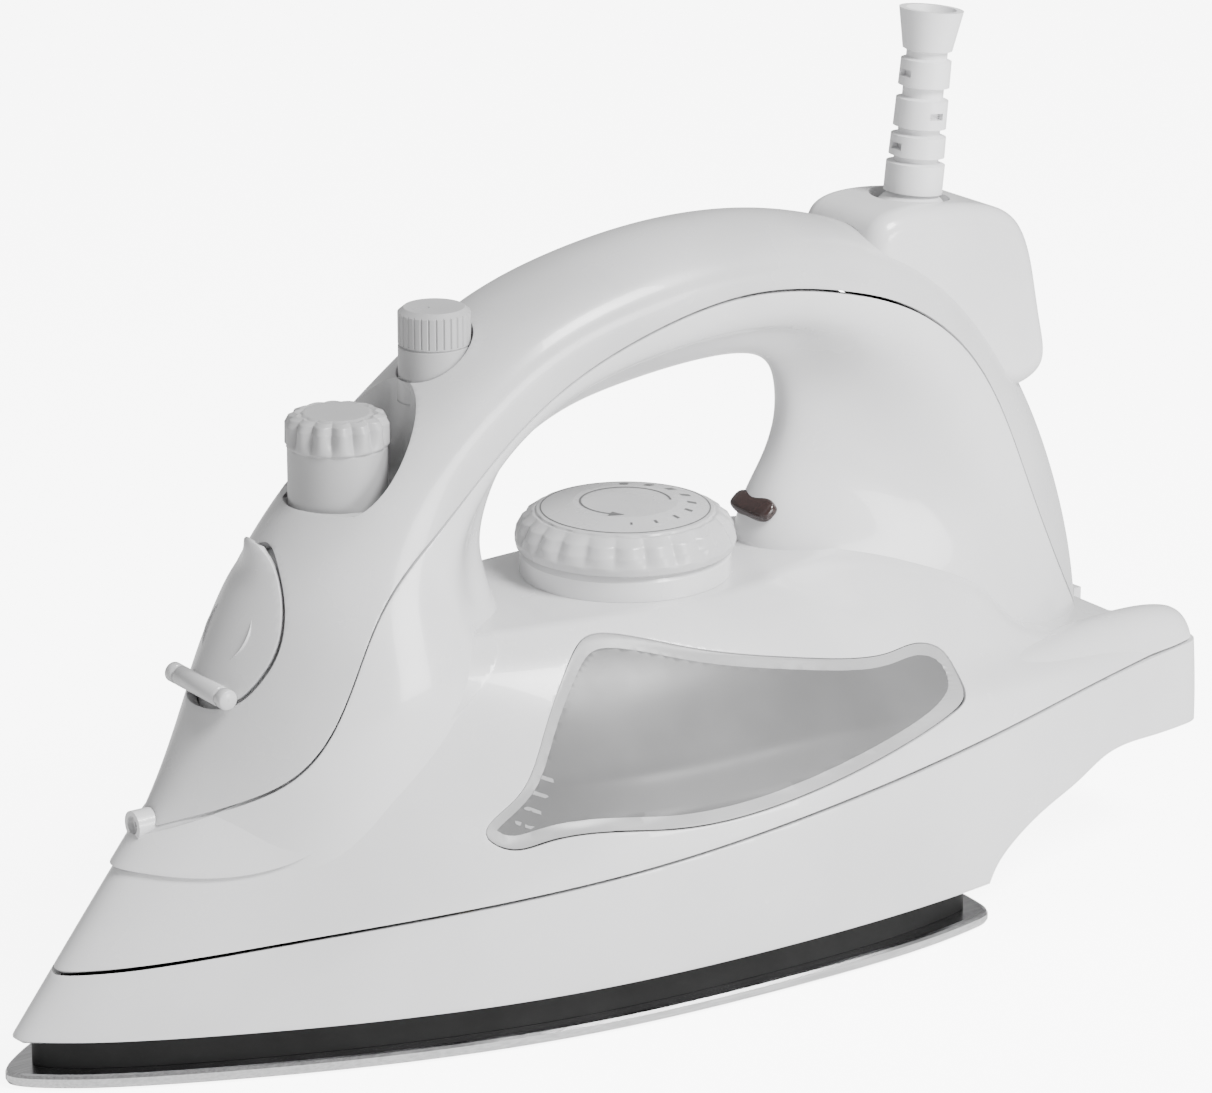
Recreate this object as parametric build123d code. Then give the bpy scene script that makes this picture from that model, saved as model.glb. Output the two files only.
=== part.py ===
"""Steam iron with a stainless soleplate, a see-through water tank and a closed-loop handle.

Frame: +X runs forward to the nose, +Y to the left side, +Z up. The origin is the middle of the
soleplate's length, on its underside. Every size is in millimetres.
"""
from build123d import *
from math import hypot
import os

# ---- driving dimensions ------------------------------------------------------------------------
SOLE_LENGTH = 215.0
SOLE_BEAM = 50.0            # greatest half width of the soleplate
SOLE_HEEL = 46.6            # its half width at the heel
SOLE_THICK = 1.2            # sheet under the casting
SOLE_RIM = 3.0              # height of the soleplate's edge
RIM_WIDTH = 4.8
BEAM_X = -50.0              # where the outlines are widest
NOSE_X = SOLE_LENGTH / 2
HEEL_X = -SOLE_LENGTH / 2
WALL = 2.2                  # moulded wall thickness
SEAM_GAP = 0.7              # open joint between two moulded covers
SLIVER = 0.1                # crumbs up to this volume are left out of a piece

BAND_INSET = 3.8            # how far the black heat band stands in from the sole's edge
SKIRT_LOW = 9.6             # lower edge of the white skirt
PROW_X, PROW_Z = 104.4, 11.1     # a point on the slanted nose ridge
PROW_SLOPE = 0.79           # how far the ridge runs back for each mm of height
DECK_Z = 79.5               # flat top of the body, under the thermostat dial
CASTING_TOP = 8.6
CHAMBER_TOP = 16.0
TAIL_X = -178.0             # rear ends of the two heel feet
NOTCH_X = -164.5            # bottom of the notch between the feet

DIAL_X, DIAL_R = -42.5, 23.3
DIAL_LOW, DIAL_TOP = 85.3, 94.6
COLLAR_R = 22.2
SHAFT_R = 3.0
PUMP_X, PUMP_R, PUMP_TOP = 28.0, 10.6, 126.0
PUMP_LOW = 101.5            # lower edge of the pump button at rest
PUMP_STROKE = 5.0
STEAM_X, STEAM_R, STEAM_TOP = 4.6, 7.4, 144.0
STEAM_LOW = 125.5           # lower edge of the steam knob
NEEDLE_R = 2.0
NOZZLE_X, NOZZLE_Z, NOZZLE_R = 77.4, 48.5, 3.0   # middle of the spray nozzle's front face
FLAP_HINGE = (60.9, 74.6)   # X and Z of the filler flap's pin
FLAP_TOP = (45.2, 101.3)    # X and Z of the flap's upper end
FLAP_HALF = 12.6
CORD_X, CORD_Z = -116.4, 142.3   # centre of the swivelling cord ball
CORD_LEAN = 6.2             # degrees that the cord guard leans back
CORD_R = 3.4                # radius of the mains lead that the guard takes
BALL_R = 9.2
HOOD_HALF = 13.6


def prow_x(z):
    """The nose ridge's X at a height."""
    return PROW_X - PROW_SLOPE * (z - PROW_Z)


def save(shape, name):
    """Write one named piece, which may be several separate solids."""
    parts = shape if isinstance(shape, list) else [shape]
    solids = [solid for part in parts for solid in part.solids() if solid.volume > SLIVER]
    export_step(solids[0] if len(solids) == 1 else Compound(solids), f"parts/{name}.step")


# ---- outlines and shared outer forms -----------------------------------------------------------
def both_sides(half):
    """A left half and its mirror image, joined."""
    return half + mirror(half, about=Plane.XZ)


def shared_spacing(rows):
    """Where each point lies along its curve, from 0 to 1, averaged over curves with as many points."""
    spots = [0.0] * len(rows[0])
    for row in rows:
        steps = [0.0] + [(b - a).length for a, b in zip(row, row[1:])]
        length = sum(steps)
        spots = [spot + sum(steps[:i + 1]) / length / len(rows) for i, spot in enumerate(spots)]
    return [spot / spots[-1] for spot in spots]


def loft_outlines(rows, ruled=False):
    """A solid through smooth closed sections: each row has points from the tail's middle to the nose."""
    rings = [row + [Vector(p.X, -p.Y, p.Z) for p in row[-2::-1]] for row in rows]
    spots = shared_spacing(rings)
    wires = [Wire([Edge.make_spline(ring, tangents=[(0, 1, 0), (0, 1, 0)], parameters=spots)]) for ring in rings]
    return Solid.make_loft(wires, ruled=ruled)


def grown(points, amount):
    """A closed outline's points, each moved out along the outline's normal."""
    area = sum(a[0] * b[1] - b[0] * a[1] for a, b in zip(points, points[1:] + points[:1]))
    out = amount if area > 0 else -amount
    moved = []
    for before, here, after in zip(points[-1:] + points[:-1], points, points[1:] + points[:1]):
        along = Vector(after[0] - before[0], after[1] - before[1]).normalized()
        moved.append((here[0] + out * along.Y, here[1] - out * along.X))
    return moved


def outline(z, nose, beam, tail, tail_half, corner=8.0, bulge=1.0, fullness=0.78):
    """Points round the left side of a teardrop at height z, from the tail's middle to the nose.

    fullness is the share of the beam's extra width that is left halfway from the beam to the tail.
    """
    corner = min(corner, 0.7 * tail_half)
    reach = nose - BEAM_X
    shares = [(0.025, 0.106), (0.087, 0.242), (0.222, 0.456), (0.44, 0.726), (0.676, 0.916)]
    side = [(nose, 0.0)] + [(nose - u * reach, v * beam) for u, v in shares]
    side += [(BEAM_X, beam), ((BEAM_X + tail + corner) / 2, tail_half + (beam - tail_half) * fullness)]
    flat = tail_half - 1.1 * corner
    side += [(tail + corner, tail_half), (tail + 0.25 * corner, tail_half - 0.32 * corner),
             (tail, flat), (tail - 0.6 * bulge, 0.6 * flat), (tail - bulge, 0.0)]
    return [Vector(x, y, z) for x, y in reversed(side)]


def lower_hull(inset=0.0):
    """The skirt's outer form, from its lower edge to above the seam, with the tail."""
    levels = [(SKIRT_LOW, 49.4, 31.0), (22.0, 50.4, 31.6), (34.0, 50.2, 31.6), (47.5, 48.2, 30.6)]
    return loft_outlines([outline(z, prow_x(z) - 1.6 * inset, beam - inset, TAIL_X + inset, half - inset,
                                  corner=7.0, bulge=1.5) for z, beam, half in levels])


def upper_hull(inset=0.0, drop=0.0):
    """The body above the seam: a low dome that carries the dial."""
    levels = [(20.0, 50.4, -147, 38), (34.0, 50.2, -147, 37), (46.0, 48.5, -143, 33), (57.0, 45.0, -133, 29),
              (66.0, 40.0, -125, 26), (73.0, 34.5, -111, 24), (77.5, 28.5, -98, 21), (DECK_Z, 24.0, -90, 18)]
    return loft_outlines([outline(z - drop, prow_x(z) - 1.6 * inset, beam - inset, tail + inset, half - inset,
                                  corner=14.0) for z, beam, tail, half in levels])


def side_cutter(points, closing, half=90.0):
    """A solid across the whole width: a smooth curve through points, closed through corners."""
    curve = Spline(*[(x, 0, z) for x, z in points])
    corners = [points[-1]] + closing + [points[0]]
    lines = Polyline(*[(x, 0, z) for x, z in corners])
    face = Face(Wire([curve] + list(lines.edges())))
    return extrude(face, half, dir=(0, 1, 0), both=True)


SEAM_LINE = [(115, 20.0), (95, 21.8), (57, 26.6), (0, 32.2), (-60, 38.0), (-106, 42.8), (-137, 45.4), (-190, 46.2)]


def above_seam(shift=0.0):
    """Everything above the body's long seam."""
    return side_cutter([(x, z + shift) for x, z in SEAM_LINE], [(-190, 260), (115, 260)])


def below_seam(shift=0.0):
    """Everything below the body's long seam."""
    return side_cutter([(x, z + shift) for x, z in SEAM_LINE], [(-190, -10), (115, -10)])


def heel_cut(grow=0.0):
    """The hollow under the tail: the skirt sweeps up from the heel."""
    curve = [(-104.5, 8.0), (-106.8, 13.0), (-112.5, 18.0), (-122.5, 22.5), (-133.5, 25.6), (-142.0, 28.4)]
    points = [(x + grow, z + grow) for x, z in curve] + [(-160, 28.2 + grow), (-195, 27.6 + grow)]
    return side_cutter(points, [(-195, -10), (-104.5 + grow, -10)])


def heel_feet(inset=0.0):
    """The rounded tops of the two heel feet, barrels either side of the rear column."""
    stations = [(-118, 27.5, 9.0), (-145, 25.2, 9.2), (-163, 23.6, 8.8), (-172, 22.8, 7.6), (-176.5, 22.4, 5.4)]
    wires = []
    for x, y, radius in stations:
        plane = Plane(origin=(x + inset * (x < -170), y, 45.2), x_dir=(0, 1, 0), z_dir=(1, 0, 0))
        wires.append(Wire([plane * Edge.make_circle(radius - inset)]))
    return both_sides(Solid.make_loft(wires))


def half_ring(outer, inner, half, bow, waist, edge, inset=0.0):
    """Points down the left side of one cross-section of the handle loop, from the outer to the inner end.

    bow is the fullness near the outer point, waist the share of the half width that is left at 70%
    of the depth, and edge the radius round the inner point.
    """
    far = Vector(outer[0], 0, outer[1])
    near = Vector(inner[0], 0, inner[1])
    step = (near - far).normalized()
    far, near, half, edge = far + step * inset, near - step * inset, half - inset, edge - 0.8 * inset
    run = near - far
    round_start = 1 - 0.8 * edge / run.length
    shares = [(0.0, 0.0), (0.05, 0.55 * bow), (0.17, 0.3 + 0.62 * bow), (0.42, 1.0), (0.70, waist),
              (round_start, 0.98 * edge / half), (1.0, 0.0)]
    return [far + run * a + Vector(0, b * half, 0) for a, b in shares]


# outer point, inner point, half width, bow, waist, edge radius: nose foot, over the top, rear foot
HANDLE_STATIONS = [
    ((82.6, 37.5), (-4, 42), 25.0, 0.22, 0.95, 18),
    ((78.2, 44.6), (-8, 56), 26.0, 0.32, 0.97, 18),
    ((71.9, 53.6), (-10, 67), 26.4, 0.46, 0.97, 18),
    ((65.2, 65.5), (-9, 77.5), 26.0, 0.58, 0.93, 15),
    ((58.0, 80.5), (-6, 87), 23.6, 0.68, 0.88, 11),
    ((48.0, 97.5), (-5, 95), 20.8, 0.74, 0.84, 9),
    ((34.0, 112.8), (-7.5, 103), 19.0, 0.80, 0.84, 8),
    ((13.5, 129.0), (-13.5, 111), 18.2, 0.86, 0.82, 8),
    ((-8.0, 142.4), (-25.5, 117.2), 18.0, 0.90, 0.82, 8),
    ((-33.0, 150.2), (-41.5, 120.6), 18.0, 0.90, 0.82, 8),
    ((-61.0, 153.1), (-60, 122.3), 18.0, 0.90, 0.82, 8),
    ((-90.0, 149.2), (-74, 121.3), 18.0, 0.90, 0.82, 8),
    ((-116.0, 137.2), (-80, 117.5), 18.0, 0.88, 0.80, 7),
    ((-134.5, 119.5), (-82, 112.0), 18.2, 0.84, 0.76, 6.5),
    ((-147.0, 100.5), (-82, 104.5), 18.6, 0.80, 0.72, 6.5),
    ((-155.0, 83.0), (-79.5, 97.0), 19.0, 0.76, 0.72, 7.5),
    ((-160.2, 66.0), (-75.5, 89.5), 20.0, 0.74, 0.78, 10),
    ((-162.5, 52.0), (-73, 80.0), 21.5, 0.72, 0.84, 13),
    ((-163.0, 42.0), (-74, 68.0), 22.5, 0.72, 0.85, 14),
]


def handle_loop(inset=0.0):
    """The whole handle: front column, grip and rear column."""
    rows = [half_ring(*station, inset=inset) for station in HANDLE_STATIONS]
    spots = shared_spacing(rows)
    wires = []
    for row in rows:
        curve = Edge.make_spline(row, tangents=[(0, 1, 0), (0, -1, 0)], parameters=spots)
        wires.append(Wire([curve, Line(row[-1], row[0])]))
    return both_sides(Solid.make_loft(wires))


HANDLE_SEAM = [(86, 44.6), (72.5, 48.9), (58.5, 54.6), (45, 66.5), (34.7, 85.5), (18.4, 102.4), (-11.2, 125.0),
               (-35.9, 135.6), (-61, 139.9), (-86.9, 136.4), (-113.8, 123.7), (-127.9, 106.3),
               (-138.3, 84.3), (-150.6, 61.4), (-172, 42)]
CRESCENT_EDGE = [(86, 41.6), (78.4, 40.5), (69.3, 39.8), (50.5, 43.5), (30.3, 58.0), (18.4, 67.0), (9.0, 73.4),
                 (3.0, 79.6), (0.0, 90.0)]


def above_handle_seam(shift=0.0):
    """Everything outside the handle's seam: in front of it, above it and behind it."""
    return side_cutter([(x, z + shift) for x, z in HANDLE_SEAM], [(-200, 42), (-200, 260), (120, 260), (120, 44.6)])


def crescent_region():
    """Where the lower handle shell laps down over the front of the body."""
    return side_cutter(CRESCENT_EDGE, [(0, 120), (120, 120), (120, 41.6)])


def tube(radius, bore, low, high, x=0.0, y=0.0):
    """An upright tube, or a rod where the bore is 0."""
    rod = Pos(x, y, (low + high) / 2) * Cylinder(radius, high - low)
    if bore:
        rod -= Pos(x, y, (low + high) / 2) * Cylinder(bore, high - low + 1)
    return rod


def revolved(profile, x=0.0, y=0.0, z=0.0):
    """A turned piece about an upright axis, from (radius, height) corners."""
    face = make_face(Polyline(*[(r, 0, h) for r, h in profile], close=True))
    return Pos(x, y, z) * revolve(face, Axis.Z)


def slab(inset, low, high):
    """A level plate with the soleplate's outline, set in all round."""
    return loft_outlines([outline(z, NOSE_X - 1.6 * inset, SOLE_BEAM - inset, HEEL_X + inset, SOLE_HEEL - inset,
                                  corner=6.0, fullness=0.95) for z in (low, high)])


# ---- soleplate, heater and heat band -----------------------------------------------------------
def steam_holes():
    """Steam outlets: two rows that follow the nose, and a short row across behind them."""
    spots = []
    for row, (inset, count) in enumerate([(9.5, 7), (17.0, 6)]):
        for i in range(count):
            x = 82 - 7.0 * row - 11.5 * i
            reach = (NOSE_X - x) / (NOSE_X - BEAM_X)
            half = SOLE_BEAM * (1 - (1 - reach) ** 2.2) - inset + 3.0
            if half > 3:
                spots += [(x, half), (x, -half)]
    return spots


def soleplate():
    """Stainless pan: a thin sheet with a rounded edge that is turned up and in."""
    levels = [(0.0, 0.9), (0.3, 0.3), (1.0, 0.0), (2.2, 0.0), (2.8, 0.25), (SOLE_RIM, 0.8)]
    plate = loft_outlines([outline(z, NOSE_X - 1.3 * inset, SOLE_BEAM - inset, HEEL_X + inset,
                                   SOLE_HEEL - inset, corner=6.0, fullness=0.95) for z, inset in levels], ruled=True)
    pocket = slab(RIM_WIDTH, SOLE_THICK, SOLE_RIM + 1)
    holes = [Pos(x, y, 0) * Cylinder(1.5, 6) for x, y in steam_holes()]
    return plate - pocket - holes


def sole_casting():
    """Aluminium casting in the pan: a flange, the heater's groove, the chamber walls and two bosses."""
    flange = slab(RIM_WIDTH + 0.2, SOLE_THICK, SOLE_RIM)
    block = slab(7.4, SOLE_RIM, CASTING_TOP)
    wall = Pos(5, 0, (CASTING_TOP + CHAMBER_TOP) / 2) * (
        Box(62, 36, CHAMBER_TOP - CASTING_TOP) - Box(57, 31, CHAMBER_TOP))
    bosses = [tube(4.5, 0, CASTING_TOP - 1, CHAMBER_TOP, x, y) for x, y in BODY_SCREWS]
    bosses += [tube(3.2, 0, CASTING_TOP - 1, CHAMBER_TOP, x, y) for x, y in CHAMBER_SCREWS]
    casting = flange + block + wall + bosses
    casting -= heater_tube(4.05)
    casting -= [Pos(HEATER_REAR - 1.5, side * HEATER_Y, HEATER_Z) * Rot(0, 90, 0) * Cylinder(4.05, 5)
                for side in (1, -1)]
    casting -= [Pos(x, y, 0) * Cylinder(1.8, 40) for x, y in steam_holes()]
    casting -= [tube(1.5, 0, 6, 30, x, y) for x, y in BODY_SCREWS]
    casting -= [tube(1.3, 0, CASTING_TOP, 30, x, y) for x, y in CHAMBER_SCREWS]
    return casting


BODY_SCREWS = [(66, 0), (-88, 38), (-88, -38)]
CHAMBER_SCREWS = [(-22, 13), (-22, -13), (31.5, 13), (31.5, -13)]
HEATER_Z, HEATER_Y, HEATER_REAR, HEATER_FRONT = 9.2, 24.0, -84.0, 20.0


def heater_tube(radius):
    """A hairpin of tube that lies in the casting."""
    legs = [Pos((HEATER_REAR + HEATER_FRONT) / 2, side * HEATER_Y, HEATER_Z) *
            Rot(0, 90, 0) * Cylinder(radius, HEATER_FRONT - HEATER_REAR) for side in (1, -1)]
    bend = revolve(Pos(HEATER_FRONT, HEATER_Y, HEATER_Z) * Rot(0, 90, 0) * Circle(radius),
                   Axis((HEATER_FRONT, 0, 0), (0, 0, -1)), 180)
    return bend + legs


def heating_element():
    ends = [tube(1.4, 0, HEATER_Z + 2, HEATER_Z + 15, HEATER_REAR - 0.5, side * HEATER_Y) +
            Pos(HEATER_REAR - 1.5, side * HEATER_Y, HEATER_Z) * Rot(0, 90, 0) * Cylinder(3.2, 4) for side in (1, -1)]
    return heater_tube(4.0) + ends


def chamber_cover():
    plate = Pos(5, 0, CHAMBER_TOP + 0.75) * Box(62, 36, 1.5)
    plate -= [tube(1.6, 0, 10, 30, x, y) for x, y in CHAMBER_SCREWS]
    return plate - tube(3.2, 0, 10, 30, STEAM_X)


def screws(spots, head_low, head_r, shank_r, shank_low):
    """Pan-head screws, one solid each."""
    return [tube(head_r, 0, head_low, head_low + 1.8, x, y) + tube(shank_r, 0, shank_low, head_low + 0.5, x, y)
            - Pos(x, y, head_low + 1.8) * Box(2 * head_r, 0.8, 1.4) for x, y in spots]


def heat_band():
    """Black heat-proof band between the sole and the skirt, with a ledge inside the skirt."""
    low = slab(BAND_INSET, SOLE_RIM + 0.05, SKIRT_LOW - 0.15) - slab(6.9, SOLE_RIM - 1, SKIRT_LOW + 2)
    ledge = slab(6.2, SKIRT_LOW - 1.0, 15.0) - slab(8.2, SKIRT_LOW - 2, 16)
    ears = [tube(6.0, 0, CHAMBER_TOP + 0.1, CHAMBER_TOP + 2.2, x, y) - tube(1.8, 0, 10, 30, x, y)
            for x, y in BODY_SCREWS]
    arms = [Pos(-94, side * 39.5, 14.2) * Box(14, 6, 8) - tube(7.0, 0, 0, 16.1, -88, side * 38)
            - tube(1.8, 0, 10, 30, -88, side * 38) for side in (1, -1)]
    bridge = Pos(78, 0, 15.6) * Box(22, 6, 5.2) - tube(7.0, 0, 0, 16.1, 66, 0) - tube(1.8, 0, 10, 30, 66, 0)
    toe = Pos(92, 0, 12.5) * Box(10, 5, 5) & slab(6.2, SKIRT_LOW - 1.0, 15.0)
    return low + ledge + ears + arms + bridge + toe


# ---- body covers and tank ----------------------------------------------------------------------
def notch(grow=0.0):
    """The gap between the two heel feet."""
    return Pos(NOTCH_X - 20 + grow, 0, 38) * Box(40, 27 + 2 * grow, 60)


def skirt(outer):
    hollow = lower_hull(WALL) - heel_cut(WALL) - notch(WALL)
    return (outer & below_seam(-SEAM_GAP)) - heel_cut() - notch() - hollow


WINDOW = [(17.5, 44.5), (14.0, 41.6), (6, 41.9), (-22, 40.6), (-48, 41.0), (-74, 45.0), (-96, 50.2),
          (-101.5, 53.0), (-102.8, 57.2), (-97.5, 61.6), (-84, 63.6), (-60, 67.6), (-34, 73.6), (-22, 77.0),
          (-14, 77.4), (-7.5, 73.6), (2, 62.4), (12, 50.4)]


def window_prism(grow=0.0):
    """The window's outline, swept across the body; grow widens it all round."""
    edge = Spline(*[(x, 0, z) for x, z in grown(WINDOW, grow)], periodic=True)
    return extrude(Face(Wire([edge])), 70, dir=(0, 1, 0), both=True)


def side_blocks():
    """Left and right halves of space, clear of the middle."""
    return [Pos(-30, side * 50, 60) * Box(200, 64, 90) for side in (1, -1)]


def body_shell(upper):
    """White body over the tank, open under the handle's front column for the filler and the spray hose."""
    shell = (upper + heel_feet()) & above_seam()
    shell = shell - upper_hull(WALL, drop=WALL) - heel_feet(WALL) - notch()
    for block in side_blocks():
        shell -= window_prism() & block
    for x, radius in ((DIAL_X, SHAFT_R + 2.2), (PUMP_X, 10.4), (STEAM_X, 5.2), (-98, 9.0)):
        shell -= tube(radius, 0, 60, 100, x)
    return shell - Pos(68, 0, 72.5) * Box(64, 28, 55)


def tank_window(upper):
    """The two smoked windows, set into the body's sides."""
    pane = (upper_hull(0.5) & window_prism(-0.25)) - upper_hull(2.4)
    return [pane & block for block in side_blocks()]


TANK_LOW, TANK_HIGH, TANK_REAR, TANK_FRONT = 41.0, 68.0, -90.0, 50.0


def tank_block(inset):
    """The tank's form, set in from the body."""
    length = TANK_FRONT - TANK_REAR - 2 * (inset - 5)
    height = TANK_HIGH - TANK_LOW - 2 * (inset - 5)
    middle = Pos((TANK_REAR + TANK_FRONT) / 2, 0, (TANK_LOW + TANK_HIGH) / 2)
    return upper_hull(inset) & middle * Box(length, 120, height)


def water_tank():
    """Clear tank with two sleeves through it and the mouths that the pump and the filler drop into."""
    tank = tank_block(5.0) - tank_block(6.6)
    for x, radius in ((DIAL_X, SHAFT_R + 1.2), (STEAM_X, NEEDLE_R + 1.2)):
        tank += tube(radius + 1.4, 0, TANK_LOW, TANK_HIGH, x)
        tank -= tube(radius, 0, TANK_LOW - 1, TANK_HIGH + 1, x)
    tank -= tube(8.2, 0, TANK_HIGH - 3, TANK_HIGH + 1, PUMP_X)
    tank += filler_duct_space(1.8) & Pos(45, 0, TANK_HIGH - 3) * Box(30, 30, 6)
    return tank - filler_duct_space(0.4)


# ---- handle ------------------------------------------------------------------------------------
def handle_walls(loop, loop_inner, upper):
    """The handle's whole wall, clear of the body and of the heel feet that it stands between."""
    walls = loop - loop_inner - upper - heel_feet()
    return walls - Pos(-150, 0, 36) * Box(60, 80, 20.6)


def handle_lower(walls, loop_inner, upper):
    """Inner half of the handle, with the crescent that laps down over the front of the body."""
    outside = above_handle_seam(-SEAM_GAP / 2)
    lap = (upper_hull(-0.9) & crescent_region()) - loop_inner - upper - outside
    shell = (walls - outside) + lap
    shell -= nozzle_hole()
    shell -= Pos(-82, 0, LAMP_Z) * Rot(0, 90, 0) * Cylinder(3.15, 20)
    return shell - lens_block(0.1)


def nozzle_hole():
    return Pos(NOZZLE_X - 6, 0, NOZZLE_Z) * Rot(0, 90, 0) * Cylinder(NOZZLE_R + 0.15, 20)


def wells():
    """Round wells that the two knobs stand in."""
    return [tube(PUMP_R + 0.5, 0, PUMP_LOW - PUMP_STROKE - 0.6, 160, PUMP_X),
            tube(PUMP_R + 4.0, 0, 108.0, 160, PUMP_X - 1.5),
            tube(STEAM_R + 0.5, 0, STEAM_LOW - 0.6, 160, STEAM_X)]


def well_cups(loop_inner):
    """The wells' walls and floors, inside the cover."""
    cups = [tube(PUMP_R + 2.1, 0, PUMP_LOW - PUMP_STROKE - 2.4, 140, PUMP_X),
            tube(PUMP_R + 5.6, 0, 106.4, 140, PUMP_X - 1.5),
            tube(STEAM_R + 2.1, 0, STEAM_LOW - 2.4, 150, STEAM_X)]
    return [cup & loop_inner for cup in cups]


def handle_top(walls, loop_inner):
    """Outer half of the handle: the cover that carries the wells, the flap's ears and the cord seat."""
    cover = walls & above_handle_seam(SEAM_GAP / 2)
    for cup in well_cups(loop_inner):
        cover += cup
    for hole in wells() + [tube(4.2, 0, 80, 120, PUMP_X), tube(4.4, 0, 100, 140, STEAM_X)]:
        cover -= hole
    cover -= flap_prism(0.45)
    cover -= tube(BALL_R + 2.4, 0, 120, 160, CORD_X)
    cover -= nozzle_hole()
    for side in (1, -1):
        cover += Pos(0, side * 9.6, 0) * on_flap_pin(2.0, 2.4)
        cover += Pos(FLAP_HINGE[0] - 3.0, side * 9.6, FLAP_HINGE[1] - 1.85) * Box(6.2, 2.4, 4.5)
    return cover - on_flap_pin(1.05, 40)


# ---- filler flap -------------------------------------------------------------------------------
KNUCKLE = 15.6              # length of the flap's hinge barrel, between the cover's two ears
DUCT_UP = 12.5              # how far up the flap its seal sits


def on_flap_pin(radius, length):
    """A cylinder on the flap's hinge axis."""
    return Pos(FLAP_HINGE[0], 0, FLAP_HINGE[1]) * Rot(90, 0, 0) * Cylinder(radius, length)


def flap_plane():
    """Local frame on the front face: X across the iron, Y up along the flap, Z outwards."""
    (x0, z0), (x1, z1) = FLAP_HINGE, FLAP_TOP
    up = Vector(x1 - x0, 0, z1 - z0).normalized()
    out = Vector(up.Z, 0, -up.X)
    return Plane(origin=(x0, 0, z0), x_dir=(0, 1, 0), z_dir=out)


def flap_prism(grow=0.0):
    """The flap's egg outline swept through the front face."""
    length = hypot(FLAP_TOP[0] - FLAP_HINGE[0], FLAP_TOP[1] - FLAP_HINGE[1])
    half = [(0, -3.4), (7.6, -1.2), (11.6, 6.0), (FLAP_HALF, 13.0), (10.6, 21.0), (6.2, 27.2), (0, length)]
    points = grown(half + [(-x, y) for x, y in reversed(half[1:-1])], grow)
    face = Face(Wire([Spline(*[(x, y, 0) for x, y in points], periodic=True)]))
    return flap_plane() * extrude(face, 12, both=True)


def filler_flap():
    """Egg-shaped lid that swings down on its pin; a boss inside it presses the seal on the duct."""
    skin = (handle_loop(-0.9) - handle_loop(1.4)) & flap_prism()
    skin &= flap_plane() * (Pos(0, 16, 0) * Box(40, 31.5, 30))
    lug = flap_plane() * (Pos(0, 27.4, 1.6) * Sphere(3.0)) & flap_prism()
    boss = flap_plane() * (Pos(0, DUCT_UP, -1.1) * Cylinder(6.2, 6.2)) & handle_loop(0.5)
    flap = skin + on_flap_pin(2.1, KNUCKLE) + lug + boss
    for side in (1, -1):
        flap -= Pos(0, side * (KNUCKLE / 2 + 3.3), 0) * on_flap_pin(2.6, 6)
        flap -= Pos(FLAP_HINGE[0] - 3, side * (KNUCKLE / 2 + 3.3), FLAP_HINGE[1] - 2) * Box(8, 6, 6)
    return flap - on_flap_pin(1.05, 40)


def filler_duct_space(grow=0.0):
    """The duct's outer form: it drops from behind the flap into the tank."""
    top = flap_plane() * (Pos(0, DUCT_UP, -6.0) * Circle(7.6 + grow))
    low = Pos(41.5, 0, 60.0 - grow) * Rot(0, 8, 0) * Circle(4.8 + grow)
    return Solid.make_loft([top.wire(), low.wire()])


def filler_duct():
    top = flap_plane() * (Pos(0, DUCT_UP, -5.9) * Circle(6.4))
    low = Pos(41.5, 0, 59.9) * Rot(0, 8, 0) * Circle(3.7)
    return filler_duct_space() - Solid.make_loft([top.wire(), low.wire()])


def flap_seal():
    """Rubber bung inside the flap, just over the duct's mouth."""
    ring = Pos(0, DUCT_UP, -5.0) * (Cylinder(7.0, 1.5) - Cylinder(4.0, 3))
    return flap_plane() * ring


# ---- knobs, pump and valve ---------------------------------------------------------------------
def pump_button():
    """Scalloped push button, hollow below."""
    profile = [(0, PUMP_TOP), (7.2, PUMP_TOP), (9.6, PUMP_TOP - 0.6), (PUMP_R, PUMP_TOP - 2.0), (PUMP_R, PUMP_LOW),
               (PUMP_R - 1.6, PUMP_LOW), (PUMP_R - 1.6, PUMP_TOP - 2.6), (7.4, PUMP_TOP - 2.6),
               (7.4, PUMP_TOP - 9.0), (3.05, PUMP_TOP - 9.0), (3.05, PUMP_TOP - 3.6), (0, PUMP_TOP - 3.6)]
    button = revolved(profile, PUMP_X)
    lobes = 14
    for i in range(lobes):
        turn = 360.0 * (i + 0.5) / lobes
        spot = Pos(PUMP_X, 0, PUMP_TOP + 1.2) * Rot(0, 0, turn) * Pos(PUMP_R + 0.35, 0, 0)
        button -= spot * Rot(0, -6, 0) * Cylinder(1.7, 15)
    return button


def pump_plunger():
    """Stem under the button, with the piston at its foot."""
    stem = tube(3.0, 0, 67, PUMP_TOP - 3.7, PUMP_X)
    return stem + tube(6.3, 0, 64, 68, PUMP_X)


def pump_spring():
    low, high = PUMP_LOW - PUMP_STROKE - 0.5, PUMP_TOP - 9.4
    turns, wire_r, radius = 6.5, 0.55, 6.4
    height = high - low - 2 * wire_r
    path = Helix(pitch=height / turns, height=height, radius=radius)
    section = Plane(origin=path @ 0, z_dir=path % 0) * Circle(wire_r)
    return Pos(PUMP_X, 0, low + wire_r) * sweep(section, path)


HOSE_TURN = 40              # the pump's outlet points this many degrees to the left of forward


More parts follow.
